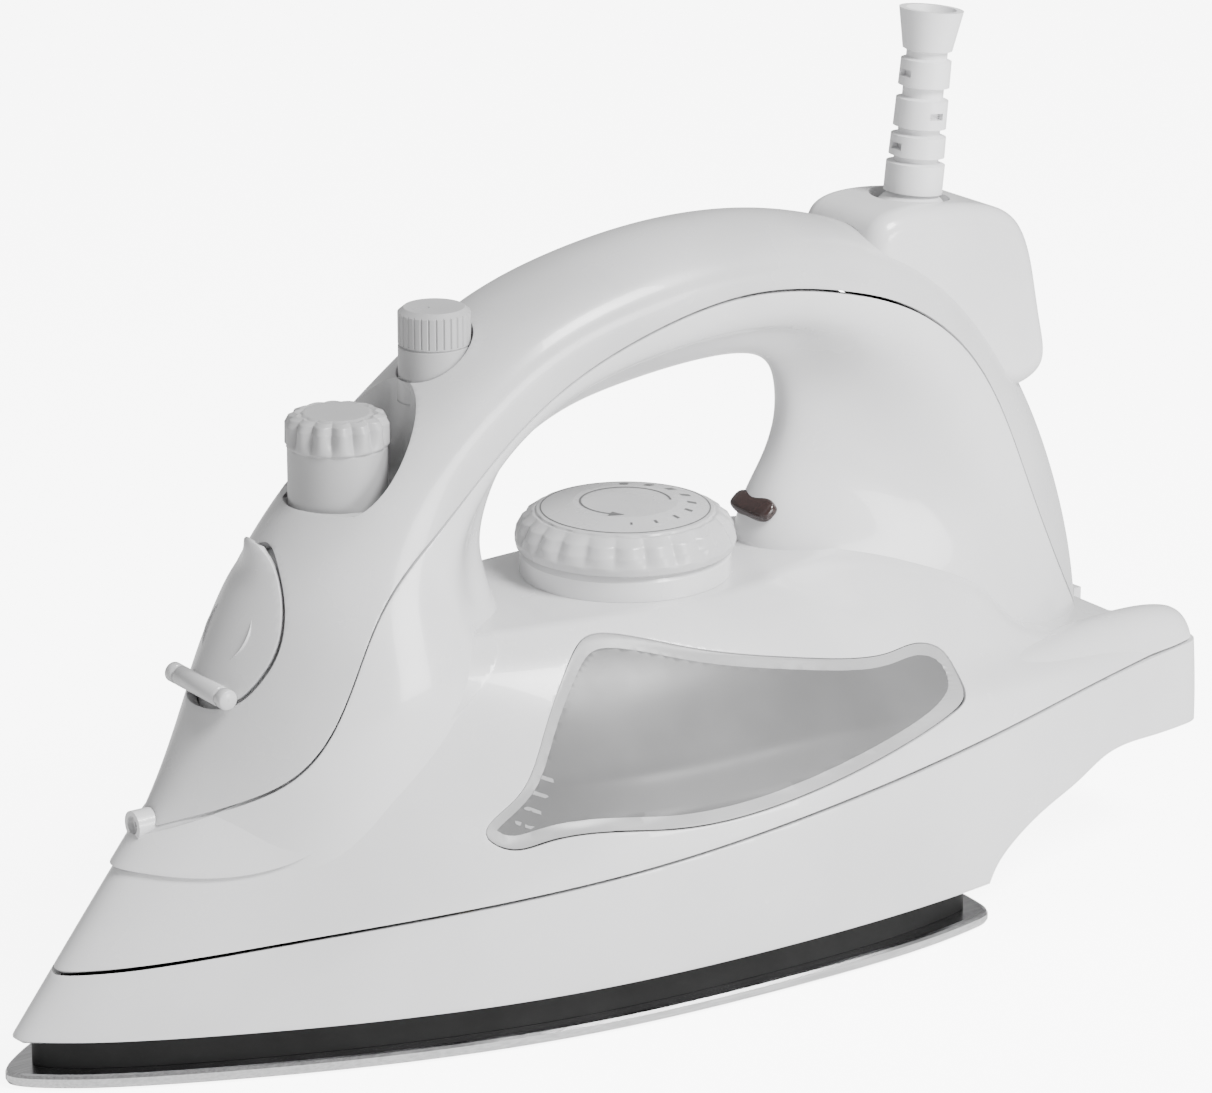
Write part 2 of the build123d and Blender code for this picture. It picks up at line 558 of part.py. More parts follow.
def pump_cylinder():
    """The pump's barrel, hung under the button's well, with its inlet at the foot."""
    barrel = tube(8.0, 6.4, 58, 93.6, PUMP_X) + tube(8.0, 1.2, 54, 58, PUMP_X) + tube(3.0, 1.2, 48, 54, PUMP_X)
    flange = tube(10.0, 6.4, 92, 93.6, PUMP_X)
    outlet = Rot(0, 90, 0) * Cylinder(2.0, 5) - Rot(0, 90, 0) * Cylinder(1.0, 30)
    return barrel + flange + Pos(PUMP_X, 0, 88) * Rot(0, 0, HOSE_TURN) * Pos(9.5, 0, 0) * outlet


def steam_knob():
    """Ribbed knob that sets the steam, on a threaded hub."""
    profile = [(0, STEAM_TOP), (6.2, STEAM_TOP), (STEAM_R, STEAM_TOP - 1.0), (STEAM_R, STEAM_TOP - 7.4),
               (STEAM_R - 0.35, STEAM_TOP - 7.7), (STEAM_R, STEAM_TOP - 8.0), (STEAM_R, STEAM_LOW), (5.6, STEAM_LOW),
               (5.6, STEAM_TOP - 3), (3.9, STEAM_TOP - 3), (3.9, 112), (2.06, 112), (2.06, STEAM_TOP - 6),
               (0, STEAM_TOP - 6)]
    knob = revolved(profile, STEAM_X)
    ribs = 30
    for i in range(ribs):
        spot = Pos(STEAM_X, 0, STEAM_TOP - 4.0) * Rot(0, 0, 360.0 * i / ribs) * Pos(STEAM_R + 0.25, 0, 0)
        knob -= spot * Rot(0, 0, 45) * Box(0.75, 0.75, 6.4)
    return knob - Pos(STEAM_X + 3.4, 0, STEAM_TOP) * Box(4.6, 0.7, 0.6)


def steam_needle():
    """Rod that the knob raises off the valve's seat."""
    rod = tube(NEEDLE_R, 0, 22.6, STEAM_TOP - 10, STEAM_X)
    return rod + Pos(STEAM_X, 0, 20.6) * Cone(0.5, NEEDLE_R, 4)


def valve_body():
    """Drip valve on the chamber cover that the needle closes."""
    profile = [(3.0, 12.5), (3.0, CHAMBER_TOP + 1.6), (6.0, CHAMBER_TOP + 1.6), (6.0, 26), (4.4, 27), (4.4, 34),
               (NEEDLE_R + 0.8, 34), (NEEDLE_R + 0.8, 19.6), (0.9, 19.0), (0.9, 12.5)]
    return revolved(profile, STEAM_X)


def valve_gasket():
    return tube(6.3, 4.6, 34.2, 40.8, STEAM_X)


# ---- dial and thermostat -----------------------------------------------------------------------
def thermostat_dial():
    """Temperature dial: a low dome with a ring of finger dimples."""
    profile = [(0, DIAL_TOP), (11, DIAL_TOP - 0.1), (18.6, DIAL_TOP - 1.6), (19.0, DIAL_TOP - 2.1),
               (19.5, DIAL_TOP - 2.0), (21.8, DIAL_TOP - 3.6), (23.0, DIAL_TOP - 5.8), (DIAL_R, DIAL_TOP - 7.6),
               (22.9, DIAL_LOW), (20.6, DIAL_LOW), (20.6, DIAL_TOP - 6.0), (5.4, DIAL_TOP - 6.0),
               (5.4, DIAL_LOW), (0, DIAL_LOW)]
    dial = revolved(profile, DIAL_X)
    dimples = 22
    for i in range(dimples):
        spot = Pos(DIAL_X, 0, DIAL_TOP - 4.2) * Rot(0, 0, 360.0 * (i + 0.5) / dimples)
        dial -= spot * Pos(23.2, 0, 0.2) * Sphere(2.3)
    return dial


def dial_shaft():
    return tube(SHAFT_R, 0, 18.5, DIAL_LOW, DIAL_X)


def dial_collar():
    """Fixed seat under the dial."""
    profile = [(SHAFT_R + 0.06, DECK_Z + 0.05), (COLLAR_R, DECK_Z + 0.05), (COLLAR_R, 83.6), (21.4, DIAL_LOW - 0.4),
               (18.5, DIAL_LOW - 0.4), (18.5, DECK_Z + 2.2), (SHAFT_R + 0.06, DECK_Z + 2.2)]
    return revolved(profile, DIAL_X)


def thermostat():
    """Bimetal thermostat on the casting, its screw bushing open for the shaft."""
    base = Pos(DIAL_X, 0, CASTING_TOP + 1.5) * Box(26, 14, 3)
    stack = Pos(DIAL_X - 9, 0, CASTING_TOP + 6) * Box(7, 9, 8)
    blade = Pos(DIAL_X, 0, CASTING_TOP + 8.5) * Box(24, 6, 0.8)
    bushing = tube(5.0, 0, CASTING_TOP + 3, 24, DIAL_X)
    return base + stack + blade + bushing - tube(SHAFT_R + 0.06, 0, 18, 40, DIAL_X)


# ---- cord entry --------------------------------------------------------------------------------
HOOD = [(-97, 144), (-99.5, 148.4), (-106, 150.1), (-118, 149.4), (-129.0, 147.6), (-136.4, 144.0),
        (-140.2, 137.8), (-142.6, 128.5), (-144.6, 119.0), (-144.8, 110.0), (-137, 106), (-118, 118)]


def hood_block(inset):
    """The hood's outer form, rounded along both sides."""
    edge = Spline(*[(x, 0, z) for x, z in grown(HOOD, -inset)], periodic=True)
    block = extrude(Face(Wire([edge])), HOOD_HALF - inset, dir=(0, 1, 0), both=True)
    return fillet([e for e in block.edges() if e.length > 60], 4.5 - 0.8 * inset)


def cord_hood(loop):
    """Hollow housing behind the grip, with a round seat for the swivelling cord ball."""
    seat = tube(BALL_R + 4.6, 0, 130, 150, CORD_X) & hood_block(0.3)
    hood = hood_block(0) - hood_block(WALL) + seat - loop
    hood -= tube(8.7, 0, 120, 160, CORD_X)
    return hood - tube(BALL_R + 2.4, 0, 120, 146.0, CORD_X)


def swivel_ring():
    """The seat that turns in the hood and carries the ball."""
    seat = tube(BALL_R + 2.33, 0, 137.4, 145.8, CORD_X)
    return seat - Pos(CORD_X, 0, CORD_Z) * Sphere(BALL_R + 0.06) - tube(8.7, 0, CORD_Z, 150, CORD_X)


def swivel_retainer():
    return tube(BALL_R + 2.3, 8.2, 135.6, 137.3, CORD_X)


def on_cord_axis(shape):
    """Places a piece that is drawn about Z on the cord guard's leaning axis, from the ball's centre."""
    return Pos(CORD_X, 0, CORD_Z) * Rot(0, -CORD_LEAN, 0) * shape


def cord_ball():
    ball = Sphere(BALL_R) - Pos(0, 0, -BALL_R) * Box(30, 30, 5) - Cylinder(CORD_R + 1.4, 40)
    return on_cord_axis(ball)


def cord_guard():
    """Ribbed bend protector: a sleeve, three flexible rings and a bell mouth."""
    base = 8.0                  # where the sleeve steps out, just above the ball
    steps = [(6.3, base), (6.3, 14.2), (4.8, 14.6), (4.8, 15.4), (6.0, 15.8), (5.9, 20.2), (3.9 + 0.6, 20.6),
             (4.5, 21.6), (5.7, 22.0), (5.6, 28.0), (4.4, 28.4), (4.4, 30.4), (5.5, 30.8), (5.4, 36.4), (4.4, 36.8),
             (4.4, 38.2), (5.3, 38.6), (6.9, 47.2), (5.4, 47.2), (CORD_R, 42.0), (CORD_R, -6.0), (4.7, -6.0), (4.7, base)]
    sleeve = revolved(steps)
    slots = [(17.9, 0), (24.9, 90), (33.5, 0)]
    for height, turn in slots:
        cut = Pos(0, 0, height) * Rot(0, 0, turn) * Box(20, 3.4, 1.5)
        sleeve -= cut - Cylinder(CORD_R + 0.9, 100)
    return on_cord_axis(sleeve)


# ---- electrics ---------------------------------------------------------------------------------
LAMP_Z = 88.0
BLOCK_X, BLOCK_Z = -128.0, 75.5      # middle of the terminal block
LEG_FOOT = 64.12            # where the block's legs stand on the body


def lens_block(grow=0.0):
    """The pilot lens's form, square-edged."""
    return Pos(-76.2, 0, 87.2) * Rot(0, 40, 0) * Box(5.0 + 2 * grow, 13.0 + 2 * grow, 3.4 + 2 * grow)


def pilot_lens():
    """Oval lens at the foot of the rear column."""
    lens = lens_block()
    return fillet(lens.edges().filter_by(Axis.Y, reverse=True), 1.1)


def pilot_lamp():
    """Neon lamp in its holder, behind the lens."""
    tip = Pos(-88.2, 0, LAMP_Z) * Rot(0, 90, 0) * Cylinder(3.0, 17.6)
    return tip + Pos(-99, 0, LAMP_Z) * Box(5, 8, 8) - lens_block(0.1)


def terminal_block():
    """Three-way block in the rear column, on two legs that stand on the body."""
    block = Pos(BLOCK_X, 0, BLOCK_Z) * Box(14, 22, 10)
    for side in (-1, 0, 1):
        block -= Pos(BLOCK_X, side * 6.6, BLOCK_Z + 3) * Cylinder(2.0, 6)
        block -= Pos(BLOCK_X, side * 6.6, BLOCK_Z - 1) * Rot(0, 90, 0) * Cylinder(1.6, 20)
    for side in (-1, 1):
        block += tube(2.4, 0, LEG_FOOT, BLOCK_Z - 4, BLOCK_X - 2, side * 8)
    return block


def terminal_screws():
    return [Pos(BLOCK_X, side * 6.6, BLOCK_Z + 2.9) * (Cylinder(1.8, 3.4) - Pos(0, 0, 1.7) * Box(4, 0.6, 1))
            for side in (-1, 0, 1)]


def cord_clamp():
    """Saddle that grips the lead, on two posts on the terminal block."""
    clamp = Pos(BLOCK_X, 0, BLOCK_Z + 17) * (Box(9, 20, 5) - Cylinder(CORD_R, 10))
    for side in (-1, 1):
        clamp += tube(1.8, 0, BLOCK_Z + 5, BLOCK_Z + 16, BLOCK_X + 4, side * 9)
    return clamp


def thermal_fuse():
    case = Pos(-66, 0, CASTING_TOP + 3.4) * Rot(0, 90, 0) * Cylinder(2.6, 12)
    strap = Pos(-66, 0, CASTING_TOP + 1.1) * Box(5, 10, 2.2)
    return case + strap


def spray_nozzle():
    body = Pos(NOZZLE_X - 5.5, 0, NOZZLE_Z) * Rot(0, 90, 0) * Cylinder(NOZZLE_R, 11)
    body -= Pos(NOZZLE_X, 0, NOZZLE_Z) * Rot(0, 90, 0) * Cylinder(1.9, 2.4)
    return body - Pos(NOZZLE_X - 8, 0, NOZZLE_Z) * Rot(0, 90, 0) * Cylinder(0.9, 30)


def spray_hose():
    """Soft hose from the pump's outlet, past the filler duct, down to the nozzle."""
    outlet = Pos(PUMP_X, 0, 88) * Rot(0, 0, HOSE_TURN) * Pos(12.1, 0, 0)
    start = outlet.position
    route = [start, start + Vector(3.3, 2.77, 0), (46.5, 10.5, 81.5), (52, 10.4, 72), (56, 5.6, 60), (58, 0.8, 50.5),
             (61.5, 0, NOZZLE_Z), (NOZZLE_X - 11.1, 0, NOZZLE_Z)]
    path = FilletPolyline(*route, radius=[5, 8, 30, 30, 6, 5])
    section = Plane(origin=path @ 0, z_dir=path % 0) * (Circle(1.9) - Circle(1.05))
    return sweep(section, path)


def main():
    os.makedirs("parts", exist_ok=True)
    upper, loop, loop_inner = upper_hull(), handle_loop(), handle_loop(WALL)
    walls = handle_walls(loop, loop_inner, upper)
    pieces = {
        "soleplate": soleplate(), "sole_casting": sole_casting(), "heating_element": heating_element(),
        "chamber_cover": chamber_cover(), "chamber_screws": screws(CHAMBER_SCREWS, CHAMBER_TOP + 1.55, 2.6, 1.25, 9.5),
        "body_screws": screws(BODY_SCREWS, CHAMBER_TOP + 2.25, 3.2, 1.45, 7.5), "heat_band": heat_band(),
        "skirt": skirt(lower_hull()), "body_shell": body_shell(upper),
        "tank_window": tank_window(upper), "water_tank": water_tank(),
        "handle_lower": handle_lower(walls, loop_inner, upper), "handle_top": handle_top(walls, loop_inner),
        "filler_flap": filler_flap(), "flap_pin": on_flap_pin(1.0, 21),
        "flap_seal": flap_seal(), "filler_duct": filler_duct(),
        "pump_button": pump_button(), "pump_plunger": pump_plunger(), "pump_spring": pump_spring(),
        "pump_cylinder": pump_cylinder(), "steam_knob": steam_knob(), "steam_needle": steam_needle(),
        "valve_body": valve_body(), "valve_gasket": valve_gasket(), "thermostat_dial": thermostat_dial(),
        "dial_shaft": dial_shaft(), "dial_collar": dial_collar(), "thermostat": thermostat(),
        "cord_hood": cord_hood(loop), "swivel_ring": swivel_ring(), "swivel_retainer": swivel_retainer(),
        "cord_ball": cord_ball(), "cord_guard": cord_guard(), "pilot_lens": pilot_lens(), "pilot_lamp": pilot_lamp(),
        "terminal_block": terminal_block(), "terminal_screws": terminal_screws(), "cord_clamp": cord_clamp(),
        "thermal_fuse": thermal_fuse(), "spray_nozzle": spray_nozzle(), "spray_hose": spray_hose(),
    }
    for name, piece in pieces.items():
        save(piece, name)


main()
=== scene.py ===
"""Looks for the steam iron: studio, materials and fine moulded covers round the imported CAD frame.

Outlines are written in millimetres, in the frame's own axes, and become metres in add_piece.
"""

import bmesh
import bpy
import numpy as np
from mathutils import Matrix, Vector
from mathutils.bvhtree import BVHTree


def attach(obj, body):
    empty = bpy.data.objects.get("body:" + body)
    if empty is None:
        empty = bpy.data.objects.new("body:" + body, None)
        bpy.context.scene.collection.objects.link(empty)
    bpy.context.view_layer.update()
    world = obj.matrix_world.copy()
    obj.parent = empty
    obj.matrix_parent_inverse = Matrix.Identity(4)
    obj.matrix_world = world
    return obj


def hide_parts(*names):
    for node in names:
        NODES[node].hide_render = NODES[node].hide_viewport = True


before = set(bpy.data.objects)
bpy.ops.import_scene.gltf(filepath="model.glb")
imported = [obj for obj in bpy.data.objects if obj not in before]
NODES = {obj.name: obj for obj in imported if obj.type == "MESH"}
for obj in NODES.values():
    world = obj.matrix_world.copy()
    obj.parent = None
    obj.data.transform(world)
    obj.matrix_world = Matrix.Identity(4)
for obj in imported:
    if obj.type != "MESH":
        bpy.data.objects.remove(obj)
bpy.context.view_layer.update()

# ---- camera and studio -------------------------------------------------------------------------
CAM_AIM = Vector((-0.03757, 0.0, 0.08542))     # point that the view is centred on
CAM_BACK = Vector((0.5455, 0.7790, 0.3090))    # from the aim towards the camera
CAM_DISTANCE = 1.1
LENS, SENSOR = 156.7, 36.0
AMBIENT = 0.55                                 # strength of the plain white surroundings
FLOOR_HALF, FLOOR_DROP = 4.0, 0.0004           # the floor's half width, and its gap below the soleplate
FLOOR_GLOW = 7.0                               # emission that only the camera sees


def add_camera():
    """The camera, ahead of the iron's left side and a little above it."""
    data = bpy.data.cameras.new("camera")
    data.lens, data.sensor_width, data.sensor_fit = LENS, SENSOR, "HORIZONTAL"
    camera = bpy.data.objects.new("camera", data)
    bpy.context.collection.objects.link(camera)
    camera.location = CAM_AIM + CAM_DISTANCE * CAM_BACK.normalized()
    camera.rotation_euler = (-CAM_BACK).to_track_quat("-Z", "Y").to_euler()
    bpy.context.scene.camera = camera


def add_light(name, place, aim, size, power):
    data = bpy.data.lights.new(name, "AREA")
    data.shape, data.size, data.size_y, data.energy = "RECTANGLE", size[0], size[1], power
    light = bpy.data.objects.new(name, data)
    bpy.context.collection.objects.link(light)
    light.location = place
    light.rotation_euler = (Vector(aim) - Vector(place)).to_track_quat("-Z", "Y").to_euler()


def add_surroundings():
    world = bpy.data.worlds.new("studio")
    bpy.context.scene.world = world
    world.use_nodes = True
    world.node_tree.nodes["Background"].inputs["Color"].default_value = (1, 1, 1, 1)
    world.node_tree.nodes["Background"].inputs["Strength"].default_value = AMBIENT
    add_light("key", (-0.30, 0.75, 1.0), (-0.03, 0, 0.05), (0.45, 0.45), 30)
    add_light("side_fill", (-0.5, 1.2, 0.20), (-0.05, 0, 0.04), (0.5, 0.3), 9)


def add_floor():
    """A white floor that glows for the camera, so that it fades into the surroundings."""
    mesh = bpy.data.meshes.new("floor")
    half = FLOOR_HALF
    corners = [(-half, -half, 0), (half, -half, 0), (half, half, 0), (-half, half, 0)]
    mesh.from_pydata(corners, [], [(0, 1, 2, 3)])
    floor = bpy.data.objects.new("floor", mesh)
    bpy.context.collection.objects.link(floor)
    floor.location.z = -FLOOR_DROP
    material = bpy.data.materials.new("floor")
    material.use_nodes = True
    shader = material.node_tree.nodes["Principled BSDF"]
    shader.inputs["Base Color"].default_value = (0.93, 0.93, 0.93, 1)
    shader.inputs["Roughness"].default_value = 0.8
    shader.inputs["Emission Color"].default_value = (1, 1, 1, 1)
    path = material.node_tree.nodes.new("ShaderNodeLightPath")
    glow = material.node_tree.nodes.new("ShaderNodeMath")
    glow.operation = "MULTIPLY"
    glow.inputs[1].default_value = FLOOR_GLOW
    material.node_tree.links.new(path.outputs["Is Camera Ray"], glow.inputs[0])
    material.node_tree.links.new(glow.outputs[0], shader.inputs["Emission Strength"])
    mesh.materials.append(material)


# ---- materials ---------------------------------------------------------------------------------
def blank_material(name, **sockets):
    """A Principled material whose constant values sit on the shader's own sockets."""
    material = bpy.data.materials.new(name)
    material.use_nodes = True
    shader = material.node_tree.nodes["Principled BSDF"]
    for socket, value in sockets.items():
        shader.inputs[socket.replace("_", " ")].default_value = value
    return material, material.node_tree, shader


def noise(tree, scale, detail=3.0, stretch=(1, 1, 1)):
    """A noise texture in object space; scale is in features per metre."""
    place = tree.nodes.new("ShaderNodeTexCoord")
    mapping = tree.nodes.new("ShaderNodeMapping")
    mapping.inputs["Scale"].default_value = stretch
    texture = tree.nodes.new("ShaderNodeTexNoise")
    texture.inputs["Scale"].default_value = scale
    texture.inputs["Detail"].default_value = detail
    tree.links.new(place.outputs["Object"], mapping.inputs["Vector"])
    tree.links.new(mapping.outputs["Vector"], texture.inputs["Vector"])
    return texture.outputs["Fac"]


NOISE_LOW, NOISE_HIGH = 0.35, 0.65      # most of a noise texture's values lie between these


def spread(tree, source, low, high):
    """Maps a noise texture's usual values to a range, clamped."""
    node = tree.nodes.new("ShaderNodeMapRange")
    node.inputs["From Min"].default_value = NOISE_LOW
    node.inputs["From Max"].default_value = NOISE_HIGH
    node.inputs["To Min"].default_value, node.inputs["To Max"].default_value = low, high
    tree.links.new(source, node.inputs["Value"])
    return node.outputs["Result"]


def tint(tree, source, dark, light):
    """Mixes two colours by a 0 to 1 source."""
    node = tree.nodes.new("ShaderNodeMix")
    node.data_type = "RGBA"
    node.inputs["A"].default_value = (*dark, 1)
    node.inputs["B"].default_value = (*light, 1)
    tree.links.new(spread(tree, source, 0, 1), node.inputs["Factor"])
    return node.outputs["Result"]


def bump(tree, shader, source, depth):
    """Raises and sinks the surface by a source; depth is in metres."""
    node = tree.nodes.new("ShaderNodeBump")
    node.inputs["Distance"].default_value = depth
    node.inputs["Strength"].default_value = 1.0
    tree.links.new(source, node.inputs["Height"])
    tree.links.new(node.outputs["Normal"], shader.inputs["Normal"])


def moulded(name, dark, light, rough, grain=1600, depth=2e-6, **sockets):
    """Moulded plastic: cloudy colour, handling smudges in the gloss, and a fine grain."""
    material, tree, shader = blank_material(name, **sockets)
    tree.links.new(tint(tree, noise(tree, 28), dark, light), shader.inputs["Base Color"])
    tree.links.new(spread(tree, noise(tree, 60, 5), *rough), shader.inputs["Roughness"])
    bump(tree, shader, noise(tree, grain, 2), depth)
    return material


EVEN = (1, 1, 1)
BRUSHED_ALONG_X = (1, 60, 60)


def metal(name, dark, light, rough, stretch, scale, depth):
    """Metal whose grain is stretched into brush lines or left even."""
    material, tree, shader = blank_material(name, Metallic=1.0)
    lines = noise(tree, scale, 4, stretch)
    tree.links.new(tint(tree, lines, dark, light), shader.inputs["Base Color"])
    tree.links.new(spread(tree, noise(tree, 90, 4), *rough), shader.inputs["Roughness"])
    bump(tree, shader, lines, depth)
    return material


def grey(value):
    """A grey with a trace of blue."""
    return (value, value, value * 1.01)


def make_materials():
    """One material for each slot of the record, and one for print and for the window's frame."""
    return {
        "white_plastic": moulded("white_plastic", grey(0.62), grey(0.67), (0.18, 0.28), Coat_Weight=0.3),
        "cover_plastic": moulded("cover_plastic", grey(0.50), grey(0.56), (0.20, 0.30), Coat_Weight=0.25),
        "knob_plastic": moulded("knob_plastic", grey(0.36), grey(0.42), (0.28, 0.40), 2400, 4e-6),
        "dial_plastic": moulded("dial_plastic", grey(0.46), grey(0.52), (0.22, 0.34)),
        "guard_plastic": moulded("guard_plastic", grey(0.70), grey(0.78), (0.38, 0.52), 1200, 8e-6),
        "black_plastic": moulded("black_plastic", grey(0.003), grey(0.007), (0.5, 0.65), 1500, 1e-5,
                                 Specular_IOR_Level=0.25),
        "smoked_window": moulded("smoked_window", grey(0.15), grey(0.18), (0.30, 0.40),
                                 Transmission_Weight=0.25, IOR=1.49),
        "window_frame": moulded("window_frame", grey(0.30), grey(0.35), (0.30, 0.42), IOR=1.49),
        "clear_tank": moulded("clear_tank", grey(0.60), grey(0.70), (0.08, 0.16), Transmission_Weight=0.8,
                              IOR=1.49),
        "lens_plastic": moulded("lens_plastic", (0.018, 0.012, 0.012), (0.034, 0.018, 0.016), (0.10, 0.18)),
        "seal_rubber": moulded("seal_rubber", grey(0.10), grey(0.14), (0.6, 0.75), 900, 1e-5),
        "hose_rubber": moulded("hose_rubber", grey(0.55), grey(0.62), (0.35, 0.5), 900, 5e-6),
        "lamp_glass": moulded("lamp_glass", (0.6, 0.3, 0.2), (0.7, 0.4, 0.3), (0.08, 0.14),
                              Transmission_Weight=0.6, IOR=1.5),
        "ceramic_block": moulded("ceramic_block", (0.62, 0.58, 0.5), (0.7, 0.66, 0.58), (0.5, 0.65), 1100,
                                 1e-5),
        "print_ink": moulded("print_ink", grey(0.10), grey(0.14), (0.4, 0.5)),
        "steel": metal("steel", grey(0.46), grey(0.60), (0.14, 0.24), BRUSHED_ALONG_X, 40, 1e-6),
        "cast_metal": metal("cast_metal", grey(0.40), grey(0.48), (0.5, 0.65), EVEN, 900, 3e-5),
        "heater_sheath": metal("heater_sheath", grey(0.16), grey(0.24), (0.4, 0.55), EVEN, 300, 1e-5),
        "screw_steel": metal("screw_steel", grey(0.45), grey(0.55), (0.25, 0.4), EVEN, 400, 4e-6),
        "spring_steel": metal("spring_steel", grey(0.5), grey(0.6), (0.2, 0.3), EVEN, 400, 2e-6),
        "brass": metal("brass", (0.5, 0.36, 0.14), (0.62, 0.46, 0.2), (0.25, 0.4), EVEN, 500, 4e-6),
    }


# ---- smooth outlines and surfaces --------------------------------------------------------------
def smooth_curve(knots, values, ends=None):
    """A cubic spline through values at knots, as a function; ends are its two end slopes."""
    knots = np.asarray(knots, float)
    values = np.asarray(values, float)
    count = len(knots)
    step = np.diff(knots)
    slope = np.diff(values, axis=0) / step[:, None]
    matrix = np.zeros((count, count))
    right = np.zeros_like(values)
    for i in range(1, count - 1):
        matrix[i, i - 1:i + 2] = step[i], 2 * (step[i - 1] + step[i]), step[i - 1]
        right[i] = 3 * (step[i] * slope[i - 1] + step[i - 1] * slope[i])
    if ends is None:
        matrix[0, :2] = (2, 1)
        matrix[-1, -2:] = (1, 2)
        right[0], right[-1] = 3 * slope[0], 3 * slope[-1]
    else:
        matrix[0, 0] = matrix[-1, -1] = 1
        right[0], right[-1] = ends
    tangents = np.linalg.solve(matrix, right)

    def at(t):
        t = np.atleast_1d(t)
        i = np.clip(np.searchsorted(knots, t) - 1, 0, count - 2)
        h = step[i][:, None]
        s = ((t - knots[i]) / step[i])[:, None]
        return ((1 + 2 * s) * (1 - s) ** 2 * values[i] + s * (1 - s) ** 2 * h * tangents[i]
                + s * s * (3 - 2 * s) * values[i + 1] - s * s * (1 - s) * h * tangents[i + 1])
    return at


def spacing(rows, axis):
    """Knots from 0 to 1, spaced as the points are on average along an axis of a grid of points."""
    gaps = np.linalg.norm(np.diff(rows, axis=axis), axis=2).mean(axis=1 - axis)
    knots = np.concatenate([[0], np.cumsum(gaps)])
    return knots / knots[-1]


def skin(rows, across, along):
    """A fine grid of points through rows that start and end square to the middle plane."""
    rows = np.asarray(rows, float)
    knots = spacing(rows, 1)
    fine = []
    for row in rows:
        first = np.linalg.norm(row[1] - row[0]) / (knots[1] - knots[0])
        last = np.linalg.norm(row[-1] - row[-2]) / (knots[-1] - knots[-2])
        turn = 1 if row[-2][1] < 0 else -1
        ends = (0, first, 0), (0, turn * last, 0)
        fine.append(smooth_curve(knots, row, ends)(np.linspace(0, 1, across)))
    fine = np.array(fine)
    levels = spacing(rows, 0)
    flat = smooth_curve(levels, fine.reshape(len(rows), -1))(np.linspace(0, 1, along))
    return flat.reshape(along, across, 3)


def mirrored(grid):
    """Adds the right side to a grid that covers the left."""
    return np.concatenate([grid, (grid * (1, -1, 1))[:, -2::-1]], axis=1)


def triangles(grid):
    """Points and triangles of a grid."""
    rows, columns = grid.shape[:2]
    a = (np.arange(rows - 1)[:, None] * columns + np.arange(columns - 1)).ravel()
    b, c, d = a + 1, a + columns + 1, a + columns
    return grid.reshape(-1, 3), np.concatenate([np.stack([a, b, c], 1), np.stack([a, c, d], 1)])


ELSEWHERE = 5.0              # a field's value, in mm, where its outline doesn't reach


def clip(points, faces, field):
    """The part of a mesh where field is positive, with a smooth cut edge."""
    value = field(points)
    inside = (value > 0)[faces]
    kept = list(map(tuple, faces[inside.all(axis=1)]))
    extra, seen = [], {}

    def cut(i, j):
        key = (min(i, j), max(i, j))
        if key not in seen:
            share = value[i] / (value[i] - value[j])
            seen[key] = len(points) + len(extra)
            extra.append(points[i] + share * (points[j] - points[i]))
        return seen[key]

    for face in faces[inside.any(axis=1) & ~inside.all(axis=1)]:
        while not (value[face[0]] > 0 and value[face[2]] <= 0):
            face = np.roll(face, 1)
        i, j, k = face
        if value[j] > 0:
            kept += [(i, j, cut(j, k)), (i, cut(j, k), cut(i, k))]
        else:
            kept.append((i, cut(i, j), cut(i, k)))
    points = np.concatenate([points, extra]) if extra else points
    used, order = np.unique(np.array(kept), return_inverse=True)
    return points[used], order.reshape(-1, 3)


def joined(*meshes):
    """Several meshes as one."""
    points = np.concatenate([mesh[0] for mesh in meshes])
    shifts = np.cumsum([0] + [len(mesh[0]) for mesh in meshes[:-1]])
    return points, np.concatenate([mesh[1] + shift for mesh, shift in zip(meshes, shifts)])


MERGE_DISTANCE, SHORTEST_EDGE = 6e-5, 2e-5      # metres
RIM_ANGLE = 1.0                                 # radians; sharper edges than this are rounded


def add_piece(name, mesh, material, body="root", wall=0.0, stands_for=(), edge=0.25):
    """A Blender piece from points in millimetres; wall thickens it inwards and edge rounds its rims."""
    data = bpy.data.meshes.new(name)
    data.from_pydata((mesh[0] * 0.001).tolist(), [], mesh[1].tolist())
    work = bmesh.new()
    work.from_mesh(data)
    bmesh.ops.remove_doubles(work, verts=work.verts, dist=MERGE_DISTANCE)
    bmesh.ops.dissolve_degenerate(work, edges=work.edges, dist=SHORTEST_EDGE)
    bmesh.ops.recalc_face_normals(work, faces=work.faces)
    work.to_mesh(data)
    work.free()
    data.shade_smooth()
    piece = bpy.data.objects.new(name, data)
    bpy.context.collection.objects.link(piece)
    data.materials.append(MATERIALS[material])
    if wall:
        solid = piece.modifiers.new("wall", "SOLIDIFY")
        solid.thickness, solid.offset = wall * 0.001, -1
        round_rim = piece.modifiers.new("rim", "BEVEL")
        round_rim.width, round_rim.segments, round_rim.limit_method = edge * 0.001, 2, "ANGLE"
        round_rim.angle_limit, round_rim.harden_normals = RIM_ANGLE, False
    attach(piece, body)
    if stands_for:
        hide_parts(*stands_for)
    return piece


# ---- moulded covers ----------------------------------------------------------------------------
SEAM_GAP = 0.7
WALL = 2.2
BEAM_X = -50.0
TAIL_X = -178.0
